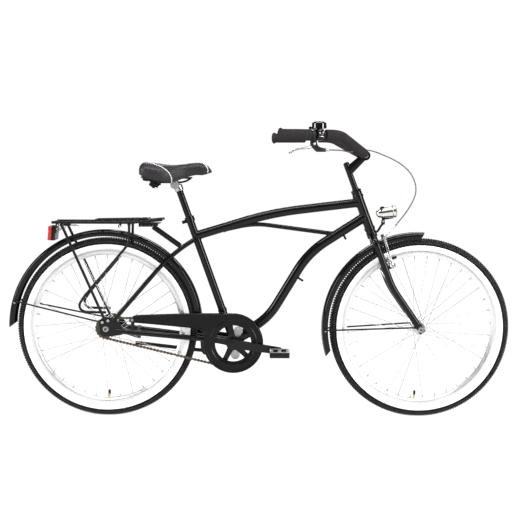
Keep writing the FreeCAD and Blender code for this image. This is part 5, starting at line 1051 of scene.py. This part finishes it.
for s in (-1, 1):
    first = 625.0 if s < 0 else 611.0
    put = at(on_grip(first, s), on_side(D1, s))
    long = (733.3 - first) / D1.x
    prof = [(0.0, 0.6), (9.0, 0.4), (15.5, 0.0), (19.6, 0.3), (21.2, 1.6), (21.8, 3.8), (21.2, 6.0), (19.8, 7.6), (18.4, 9.6), (17.9, 14.0), (18.0, 40.0), (18.2, 70.0), (18.2, long - 7.0),
            (18.0, long - 2.4), (16.6, long - 0.4), (11.3, long)]
    k.add(rev(prof, 44), FOAM, put)
grips = k.make("foam_hand_grips", "steering", (), 50.0)

# bell: domed cup on a clamp, with a ratchet case below and two clamp screws
BELL = on_grip(762.0, -1)
k = Kit()
dome = [(0.0, 47.0), (3.6, 47.0), (4.6, 46.4), (5.4, 45.8), (13.0, 45.6), (19.4, 44.6), (22.8, 42.4), (24.6, 38.8), (25.2, 34.0), (25.2, 24.6), (25.6, 23.6), (25.6, 21.6), (24.6, 21.0), (23.8, 22.0), (23.4, 36.0), (20.0, 41.6), (0, 43.0)]
k.add(rev(dome, 64), BLACK_CHROME, at(BELL))
k.add(rev([(0, 43.0), (2.6, 43.4), (2.6, 48.2), (1.8, 49.0), (0, 49.2)], 18), CHROME, at(BELL))
k.add(rev([(0, 12.6), (13.4, 12.6), (14.8, 13.4), (15.0, 14.6), (14.8, 17.6), (0, 18.2)], 48), PLASTIC, at(BELL))
k.add(rev([(3.0, 17.0), (6.0, 17.4), (4.0, 20.5), (3.0, 23.0), (3.0, 43.2)], 20), STEEL, at(BELL))
k.add(block(22.0, 28.0, 9.0, 2.2, 3), PLASTIC, at(BELL + Vector((0, 0, 12.0)), (0, 0, 1), RDIR))
k.add(rev([(13.0, -11.0), (19.0, -11.0), (20.2, -9.6), (20.2, 9.6), (19.0, 11.0), (13.0, 11.0)], 44), PLASTIC, at(BELL, RDIR))
near = LDIR
for dx, dz in ((-6.0, 5.4), (6.5, 6.2)):
    k.add(dome_head(3.0, 2.4, 1.3), STEEL, at(BELL + RDIR * dx + near * 19.2 + Vector((0, 0, dz)), near))
k.add(block(17.0, 2.4, 2.4, 0.8, 2), DARK_STEEL, at(BELL + near * 19.6 + Vector((0, 0, -0.6)), (0, 0, 1), RDIR))
k.add(block(15.0, 2.2, 2.2, 0.8, 2), STEEL, at(BELL + near * 19.0 + Vector((0, 0, -6.8)), (0, 0, 1), RDIR))
k.add(block(10.0, 3.0, 4.0, 1.0, 2), DARK_STEEL, at(BELL + near * 14.4 + RDIR * -5.5 + Vector((0, 0, 14.0)), (0, 0, 1), RDIR))
k.add(block(4.0, 3.0, 8.0, 1.0, 2), DARK_STEEL, at(BELL + near * 17.4 + RDIR * 9.0 + Vector((0, 0, 13.6)), (0, 0, 1), RDIR))
k.make("bell_cup", "steering", ["bell"], 40.0)
k = Kit()
BP = BELL + Vector((-16.0, -6.0, 18.6))
k.add(rev([(0, 0.0), (4.5, 0.0), (4.5, 1.5), (4.0, 2.0), (0, 2.1)], 20), PLASTIC, at(BP))
k.add(block(16.0, 7.0, 2.0, 0.7, 2), PLASTIC, at(BP + Vector((-7.0, 2.3, 1.0)), (0, 0, 1), (-1, 0.33, 0)))
k.add(rev([(0, 0.0), (4.6, 0.0), (5.5, 1.0), (5.7, 5.0), (5.2, 7.6), (3.6, 8.8), (0, 9.0)], 24), PLASTIC, at(BP + Vector((-14.5, 4.8, 0))))
k.make("bell_thumb_tab", "bell_thumb", ["bell_lever"], 40.0)

# brake lever: bracket, pivot screw, adjuster and curved blade
PIV = LEV + Vector((2.5, 0, -31.5))
k = Kit()
k.add(rev([(11.3, -6.5), (15.2, -6.5), (16.2, -5.6), (16.2, 5.6), (15.2, 6.5), (11.3, 6.5)], 40), PLASTIC, at(LEV, RDIR))
k.add(block(12.0, 13.0, 13.0, 2.4, 3), PLASTIC, at(LEV + Vector((0, 0, -17.5)), (0, 0, 1), RDIR))
k.add(dome_head(4.0, 4.0, 1.8), STEEL, at(LEV + Vector((0, 0, 13.0)) - RDIR * 5.0 + LDIR * 9.0, Vector((0, 0, 1)) + LDIR * 0.6))
k.add(block(12.0, 12.0, 9.0, 2.0, 3), PLASTIC, at(LEV + Vector((0, 0, 12.0)) + LDIR * 7.0 - RDIR * 1.0, Vector((0, 0, 1)) + LDIR * 0.6, RDIR))
outline = [(-9.5, 14.0), (-10.0, 2.0), (-9.4, -5.0), (-5.0, -11.0), (8.0, -23.5), (12.0, -26.6), (16.0, -27.6), (42.0, -27.4), (43.2, -26.2), (43.2, -15.4), (42.0, -14.4), (24.0, -12.6), (16.0, -9.0), (11.0, -2.0), (9.4, 14.0)]
for s in (-1, 1):
    k.add(prism(outline, 3.4, 1.0, 3), PLASTIC, at(PIV + LDIR * (3.3 if s > 0 else -6.7), LDIR, RDIR))
core = [(13.0, -13.0), (15.0, -22.0), (18.0, -26.0), (41.0, -26.0), (41.6, -16.4), (24.0, -14.4)]
k.add(prism(core, 7.4, 0.6, 2), PLASTIC, at(PIV - LDIR * 3.7, LDIR, RDIR))
k.add(dome_head(5.2, 2.6, 2.2), STEEL, at(PIV + LDIR * 6.6, LDIR))
k.add(dome_head(5.0, 2.2, 0.0), STEEL, at(PIV - LDIR * 6.6, -LDIR))
barrel = [(2.6, -2.0), (4.2, -2.0), (4.2, 0.6), (5.6, 1.0), (5.8, 1.8), (5.8, 8.6), (5.4, 9.4), (4.4, 10.0), (4.2, 14.4), (3.6, 15.2), (2.6, 15.2)]
k.add(rev(barrel, 28), BLADE, at(ADJ, RDIR))
for i in range(14):
    a = 2 * PI * i / 14
    m = at(ADJ, RDIR)
    k.add(block(1.0, 1.0, 6.4, 0.3, 1), BLADE, m @ Matrix.Translation((5.8 * math.cos(a), 5.8 * math.sin(a), 5.2)) @ Matrix.Rotation(a, 4, "Z"))
k.make("brake_lever_clamp", "steering", ["brake_lever_bracket"], 40.0)
k = Kit()
top = spline([(2, 5.8, 0), (-6, 5.0, 0), (-12, -5.5, 0), (-26, -9.6, 0), (-44, -11.8, 0), (-58, -14.6, 0), (-70, -19.2, 0), (-80, -25.4, 0), (-85, -29.5, 0)], "lever_top", 6)
low = spline([(5, -4, 0), (0, -8.5, 0), (-10, -16.5, 0), (-26, -18.4, 0), (-44, -19.6, 0), (-58, -21.8, 0), (-70, -25.4, 0), (-80, -30.2, 0), (-84, -33.0, 0)], "lever_low", 6)
rings = []
count = len(top)
for i in range(count):
    f = i / (count - 1)
    a, b = top[i], low[min(i, len(low) - 1)]
    w = 3.0 if f < 0.16 else 3.0 + 3.2 * min(1.0, (f - 0.16) / 0.25)
    ring = []
    for j in range(16):
        t = 2 * PI * j / 16
        c, s_ = math.cos(t), math.sin(t)
        c = math.copysign(abs(c) ** 0.75, c)
        s_ = math.copysign(abs(s_) ** 0.75, s_)
        m = (a + b) * 0.5 + (a - b) * 0.5 * s_
        ring.append(PIV + RDIR * m.x + Vector((0, 0, m.y)) + LDIR * (w * c))
    rings.append(ring)
k.add(loft(rings), LEVER)
k.add(sweep([rings[-1][0].lerp(rings[-1][8], 0.5) + Vector((0, 0, 0.4)) - RDIR * 2.2 - LDIR * 4.0, rings[-1][0].lerp(rings[-1][8], 0.5) - RDIR * 2.2 + LDIR * 4.0 + Vector((0, 0, 0.4))], 3.4, 14), LEVER)
k.make("brake_lever_blade", "brake_handle", ["brake_lever"], 45.0)

# ---------------------------------------------------------------- front brake
UPV, FWDV = Vector((-0.3507, 0, 0.9365)), Vector((0.9365, 0, 0.3507))
ARM_TOP = {}
for s, name, body in ((-1, "brake_arm_right", "brake_right"), (1, "brake_arm_left", "brake_left")):
    pv = Vector((1042.81, 41.0 * s, 561.82))
    lean = (UPV + FWDV * 0.075 + Vector((0, -0.02 * s, 0))).normalized()
    ARM_TOP[s] = pv + lean * 109.0
    k = Kit()
    fore = (FWDV - lean * FWDV.dot(lean)).normalized()
    rings = []
    for d, w, h in ((-6.0, 7.0, 10.0), (0.0, 9.6, 12.4), (12.0, 9.4, 13.4), (28.0, 8.6, 12.0), (50.0, 7.4, 10.4), (74.0, 6.8, 9.6), (96.0, 6.8, 9.6), (106.0, 7.4, 10.2), (112.5, 6.6, 9.0), (114.0, 4.6, 6.6)):
        ring = []
        for j in range(20):
            t = 2 * PI * j / 20
            c, s_ = math.cos(t), math.sin(t)
            ring.append(pv + lean * d + fore * (h / 2 * math.copysign(abs(c) ** 0.6, c)) + Vector((0, w / 2 * math.copysign(abs(s_) ** 0.6, s_), 0)))
        rings.append(ring)
    k.add(loft(rings), BLADE)
    k.add(rev([(5.1, -7.6), (8.4, -7.6), (9.2, -6.6), (9.2, 6.8), (8.4, 7.9), (5.1, 7.9)], 32), BLADE, at(pv, FWDV))
    k.add(rev([(5.2, 7.9), (7.2, 7.9), (7.2, 8.3), (5.2, 8.3)], 24), SATIN, at(pv, FWDV))
    # return spring: a flat coil behind the boss and a wire up the outer edge of the arm
    k.add(sweep(helix(pv - FWDV * 7.4, pv - FWDV * 4.4, 10.4, 2.0, 18), 0.9, 8), STEEL)
    k.add(sweep([pv - FWDV * 6.0 + Vector((0, 10.0 * s, 0)), pv + lean * 24.0 + Vector((0, 8.4 * s, 0)) - fore * 4.0, pv + lean * 54.0 + Vector((0, 5.2 * s, 0)) - fore * 4.6], 0.9, 8), STEEL)
    # a thin dark sheet on the outer face: painted shade standing in for a recessed window
    k.add(prism([(x * 1.0, y) for x, y in circle(0, 10.0, 2.1, 10, 0, 180) + circle(0, -10.0, 2.1, 10, 180, 360)], 0.5, 0.0), DULL, at(pv + lean * 62.0 + Vector((0, 3.45 * s, 0)), (0, s, 0), fore))
    pad = pv + UPV * 21.4 - FWDV * 3.0
    k.add(sweep([pad + Vector((0, -18.0 * s, 0)), pad + Vector((0, 9.5 * s, 0))], 3.1, 16), STEEL)
    for off, r, h, m in ((4.6, 7.2, 2.4, STEEL), (-8.4, 8.0, 3.2, BLADE), (-11.8, 6.6, 3.0, STEEL)):
        k.add(rev([(3.0, 0.0), (r, 0.0), (r, h * 0.7), (r * 0.88, h), (3.0, h)], 28), m, at(pad + Vector((0, off * s, 0)), (0, s, 0)))
    k.add(nut(10.0, 5.0), STEEL, at(pad + Vector((0, 6.8 * s, 0)), (0, s, 0)))
    mid = Vector((pad.x, 18.2 * s, pad.z))
    out = Vector((mid.x - FRONT.x, 0, mid.z - FRONT.z)).normalized()
    run = Vector((-out.z, 0, out.x))
    radius = math.hypot(mid.x - FRONT.x, mid.z - FRONT.z)
    rings = []
    for i in range(15):
        f = -1.0 + 2.0 * i / 14
        a = f * 31.0 / radius
        o = out * math.cos(a) + run * math.sin(a)
        q = Vector((FRONT.x, mid.y, FRONT.z)) + o * radius
        fat = 1.0 if abs(f) < 0.9 else 0.72
        high = 4.6 * fat * (1.0 if i % 3 else 0.96)
        ring = []
        for j in range(16):
            t = 2 * PI * j / 16
            c, s_ = math.cos(t), math.sin(t)
            ring.append(q + o * (high * math.copysign(abs(c) ** 0.6, c)) + Vector((0, 4.2 * fat * math.copysign(abs(s_) ** 0.6, s_), 0)))
        rings.append(ring)
    k.add(loft(rings), RUBBER)
    if s < 0:
        # the holder of the noodle's end
        k.add(block(13.0, 9.0, 9.0, 1.6, 2), STEEL, at(ARM_TOP[s] + Vector((0, -6.4, 0)), lean, fore))
    else:
        k.add(nut(9.0, 5.0), STEEL, at(ARM_TOP[s] + fore * 4.6, fore))
        k.add(rev([(2.6, 0.0), (6.0, 0.0), (6.0, 1.6), (2.6, 1.6)], 24), STEEL, at(ARM_TOP[s] + fore * 4.0, fore))
    k.make(name + "_forged", body, [name], 42.0)

# noodle from the housing's end to the right arm, and the wire through the boot to the left arm
noodle_line = spline([(1056.5, -37.0, 712.0), (1047.7, -38.4, 701.2), (1021.3, -53.8, 678.4), (1012.3, -54.8, 666.4), (1012.3, -14.8, 666.4)], "noodle", 12)
k = Kit()
k.add(sweep(noodle_line, 2.4, 14), STEEL)
k.add(rev([(2.5, -5.0), (3.5, -5.0), (3.7, -4.2), (3.7, 4.6), (3.2, 5.4), (2.5, 5.4)], 20), STEEL, at(noodle_line[0], noodle_line[1] - noodle_line[0]))
noodle = k.make("brake_noodle", "steering", (), 50.0)
k = Kit()
k.add(sweep([Vector((1012.3, -16.0, 666.4)), Vector((1012.3, 46.8, 666.4))], 0.9, 8), STEEL)
ripple = [(1.2, -15.0)]
for i in range(9):
    y = -14.6 + i * 2.6
    ripple += [(3.6, y), (4.9 - 0.12 * i, y + 1.3), (3.6, y + 2.4)]
ripple.append((1.2, 9.4))
k.add(rev(ripple, 24), RUBBER, at(Vector((1012.3, 0, 666.4)), (0, 1, 0)))
k.add(rev([(0.9, 40.4), (1.9, 40.4), (2.1, 41.0), (2.1, 46.4), (0.9, 47.2)], 16), STEEL, at(Vector((1012.3, 0, 666.4)), (0, 1, 0)))
wire = k.make("brake_wire_and_boot", "brake_left", (), 50.0)

# ---------------------------------------------------------------- headlamp
LAMP, LDR = Vector((985.0, 0, 748.0)), Vector((math.cos(rad(9.0)), 0, math.sin(rad(9.0))))
LUP = Vector((-LDR.z, 0, LDR.x))
LPIV = Vector((1012.0, 0, 722.0))
k = Kit()
shell = [(0.0, 0.0), (4.0, 0.2), (8.4, 1.6), (12.2, 4.6), (15.2, 9.6), (17.6, 17.0), (19.4, 27.0), (20.8, 40.0), (21.8, 54.0), (22.2, 61.6), (23.4, 62.4), (24.2, 63.8), (24.2, 70.6), (23.6, 72.6), (22.4, 73.4), (21.0, 73.0), (20.4, 71.0)]
k.add(rev(shell, 72), CHROME, at(LAMP, LDR))
k.add(rev([(20.4, 71.0), (18.6, 66.0), (15.0, 59.0), (10.0, 53.4), (4.0, 50.6), (0.0, 50.2)], 60), CHROME, at(LAMP, LDR))
k.add(rev([(2.4, 50.0), (2.4, 57.0), (3.2, 58.4), (3.4, 61.0), (2.6, 63.4), (0.0, 64.4)], 20), PIPING, at(LAMP, LDR))
k.add(rev([(22.3, 61.0), (22.7, 61.0), (22.7, 62.2), (22.3, 62.2)], 60), DARK_STEEL, at(LAMP, LDR))
# switch on top and the seat under the shell
k.add(prism([(-9, 0), (9, 0), (8, 3.4), (3.0, 6.2), (-4.0, 6.6), (-8.4, 3.0)], 9.0, 1.0, 2), PLASTIC, at(LAMP + LDR * 27.0 + LUP * 18.2 + Vector((0, 4.5, 0)), (0, -1, 0), LDR))
k.add(block(42.0, 12.0, 4.6, 1.4, 2), SATIN, at(LAMP + LDR * 40.0 - LUP * 22.2, LUP, LDR))
k.add(block(10.4, 9.6, 20.0, 1.6, 2), SATIN, at(LPIV + Vector((0.4, 0, 4.4)), (0, 0, 1)))
k.make("headlamp_bullet", "headlamp", ["headlamp_shell"], 38.0)
k = Kit()
lens = [(0.0, 78.0), (8.0, 77.8), (15.0, 76.8), (19.4, 74.6), (20.2, 72.6), (20.2, 70.4), (19.0, 70.4), (18.0, 73.4), (12.0, 74.8), (0.0, 75.4)]
k.add(rev(lens, 60), GLASS, at(LAMP, LDR))
k.make("headlamp_front_glass", "headlamp", ["headlamp_lens"], 50.0)
k = Kit()
path = spline([(980.0, 0, 680.0), (988.0, 0, 681.5), (998.0, 0, 693.0), (1003.0, 0, 704.0), (1009.0, 0, 711.0), (1012.0, 0, 713.0)], "strap", 8)
rings = []
for i, q in enumerate(path):
    d = (path[min(i + 1, len(path) - 1)] - path[max(i - 1, 0)]).normalized()
    n_ = Vector((-d.z, 0, d.x))
    w = 9.2 if i < len(path) * 0.6 else 8.2
    rings.append([q + n_ * 3.2 * b + Vector((0, w * a, 0)) for a, b in ((-1, -0.6), (-0.93, -1), (0.93, -1), (1, -0.6), (1, 0.6), (0.93, 1), (-0.93, 1), (-1, 0.6))])
k.add(loft(rings), SATIN)
for s in (-1, 1):
    ear = [(-6.0, -13.0), (6.0, -11.0)] + circle(0.0, 0.0, 6.4, 18, -20, 200)
    k.add(prism(ear, 2.6, 0.6, 2), SATIN, at(LPIV + Vector((0, 5.2 * s if s > 0 else -7.8, 0)), (0, 1, 0), (1, 0, 0)) @ Matrix.Scale(-1, 4, (0, 1, 0)))
    k.add(dome_head(4.2, 2.8, 1.8), STEEL, at(LPIV + Vector((0, 7.8 * s, 0)), (0, s, 0)))
k.add(dome_head(5.0, 3.6, 2.2), STEEL, at(Vector((989.5, 0, 685.0)), (0.82, 0, -0.57)))
k.add(sweep([Vector((974.6, 0, 664.0)), Vector((981.4, 0, 646.0))], 5.0, 18), SATIN)
k.make("headlamp_strap", "steering", ["headlamp_bracket"], 40.0)

# ---------------------------------------------------------------- rack details and tail light
k = Kit()
lean_tail = Matrix.Translation((-200.0, 0, 676.0)) @ Matrix.Rotation(rad(4.5), 4, "Y") @ Matrix.Translation((200.0, 0, -676.0))
k.add(block(14.6, 84.0, 52.0, 4.0, 4), RED, lean_tail @ Matrix.Translation((-204.0, 0, 676.0)))
k.add(block(11.8, 83.0, 51.0, 3.0, 3), PLASTIC, lean_tail @ Matrix.Translation((-190.8, 0, 676.0)))
k.add(block(1.4, 85.0, 53.0, 0.6, 2), PLASTIC, lean_tail @ Matrix.Translation((-196.8, 0, 676.0)))
k.add(block(2.6, 60.0, 36.0, 0.8, 2), SATIN, Matrix.Translation((-183.2, 0, 694.4)))
for y in (-22.0, 22.0):
    k.add(dome_head(4.4, 3.0, 2.0), STEEL, at(Vector((-181.8, y, 690.0)), (1, 0, 0)))
    k.add(sweep(spline([(-181.0, y, 704.0), (-176.0, y, 702.0), (-172.0, y * 1.1, 690.0), (-168.0, y * 1.5, 684.0), (-160.0, y * 2.3, 696.0)], "tail_wire", 8), 1.8, 10), STEEL)
k.make("tail_light_body", "frame", ["tail_light"], 40.0)
k = Kit()
# coils on the clip's hinge, a hook below the platform and the rear tie's parts
for s in (-1, 1):
    k.add(sweep(helix((150.0, 28.6 * s, 727.5), (150.0, 10.0 * s, 727.5), 5.0, 6.0, 14), 1.1, 7), STEEL)
    k.add(sweep([Vector((155.0, 28.6 * s, 727.5)), Vector((160.0, 28.2 * s, 720.0)), Vector((164.0, 27.6 * s, 715.8))], 1.1, 7), STEEL)
    k.add(sweep(spline([(60.0, 30.0 * s, 713.0), (54.0, 30.0 * s, 712.0), (46.0, 30.0 * s, 706.0), (44.0, 30.0 * s, 700.0), (48.0, 30.0 * s, 698.0)], "rack_hook", 8), 2.0, 8), SATIN)
    for x, y, z in ((172.5, 36.3, 697.2), (264.0, 36.3, 630.5)):
        k.add(dome_head(4.6, 3.2, 2.0), SATIN, at(Vector((x, y * s, z)), (0, s, 0)))
    # small collars where the legs meet the rails
    for x, r in ((-159.0, 6.2), (87.0, 6.0), (86.0, 5.6)):
        k.add(rev([(r - 1.6, -2.0), (r, -1.4), (r + 0.4, 0.6), (r, 3.2), (r - 1.4, 4.4)], 20), SATIN, at(Vector((x + (1.6 if x < 0 else 0.0), 60.0 * s, 709.0)), (-0.41, 0, 0.91) if x < 0 else (0, 0, 1)))
k.add(block(26.0, 20.0, 9.0, 2.0, 2), PLASTIC, Matrix.Translation((-146.0, -8.0, 706.0)))
k.add(sweep(helix((-132.0, -8.0, 705.0), (-104.0, -8.0, 704.0), 2.8, 9.0, 12), 0.9, 6), STEEL)
k.make("rack_fittings", "frame", (), 40.0)

# ---------------------------------------------------------------- welds
HEAD_D, POST_D = Vector((-0.3507, 0, 0.9365)), Vector((-0.33760, 0, 0.94128))
HEAD_Q, SHELL_Q = Vector((936.3, 0, 766.4)), Vector((464.0, 0, 277.0))
k = Kit()


def weld(a, b, r, q, d, main, size=2.2):
    a, b = Vector((a[0], 0, a[1])), Vector((b[0], 0, b[1]))
    run = (b - a).normalized()
    k.add(bead(b - run * 60.0, run, r, q, d, main, size), PAINT)


weld((601.0, 751.0), (927.1, 791.0), 16.5, HEAD_Q, HEAD_D, 17.5)
weld((739.3, 606.6), (946.3, 739.6), 18.0, HEAD_Q, HEAD_D, 17.5)
weld((601.0, 751.0), (324.6, 665.6), 16.5, SHELL_Q, POST_D, 14.3)
weld((596.8, 370.7), (464.0, 277.0), 18.0, SHELL_Q, ACROSS, 21.0)
weld((394.3, 471.0), (464.0, 277.0), 14.3, SHELL_Q, ACROSS, 21.0)
weld((540.0, 713.3), (852.0, 672.8), 8.0, Vector((842.8, 0, 673.1)), Vector((207.0, 0, 133.0)), 18.0, 1.7)
weld((540.0, 713.3), (418.0, 686.5), 8.0, Vector((462.0, 0, 708.2)), Vector((277.5, 0, 85.4)), 16.5, 1.7)
k.make("frame_welds", "frame", (), 60.0)
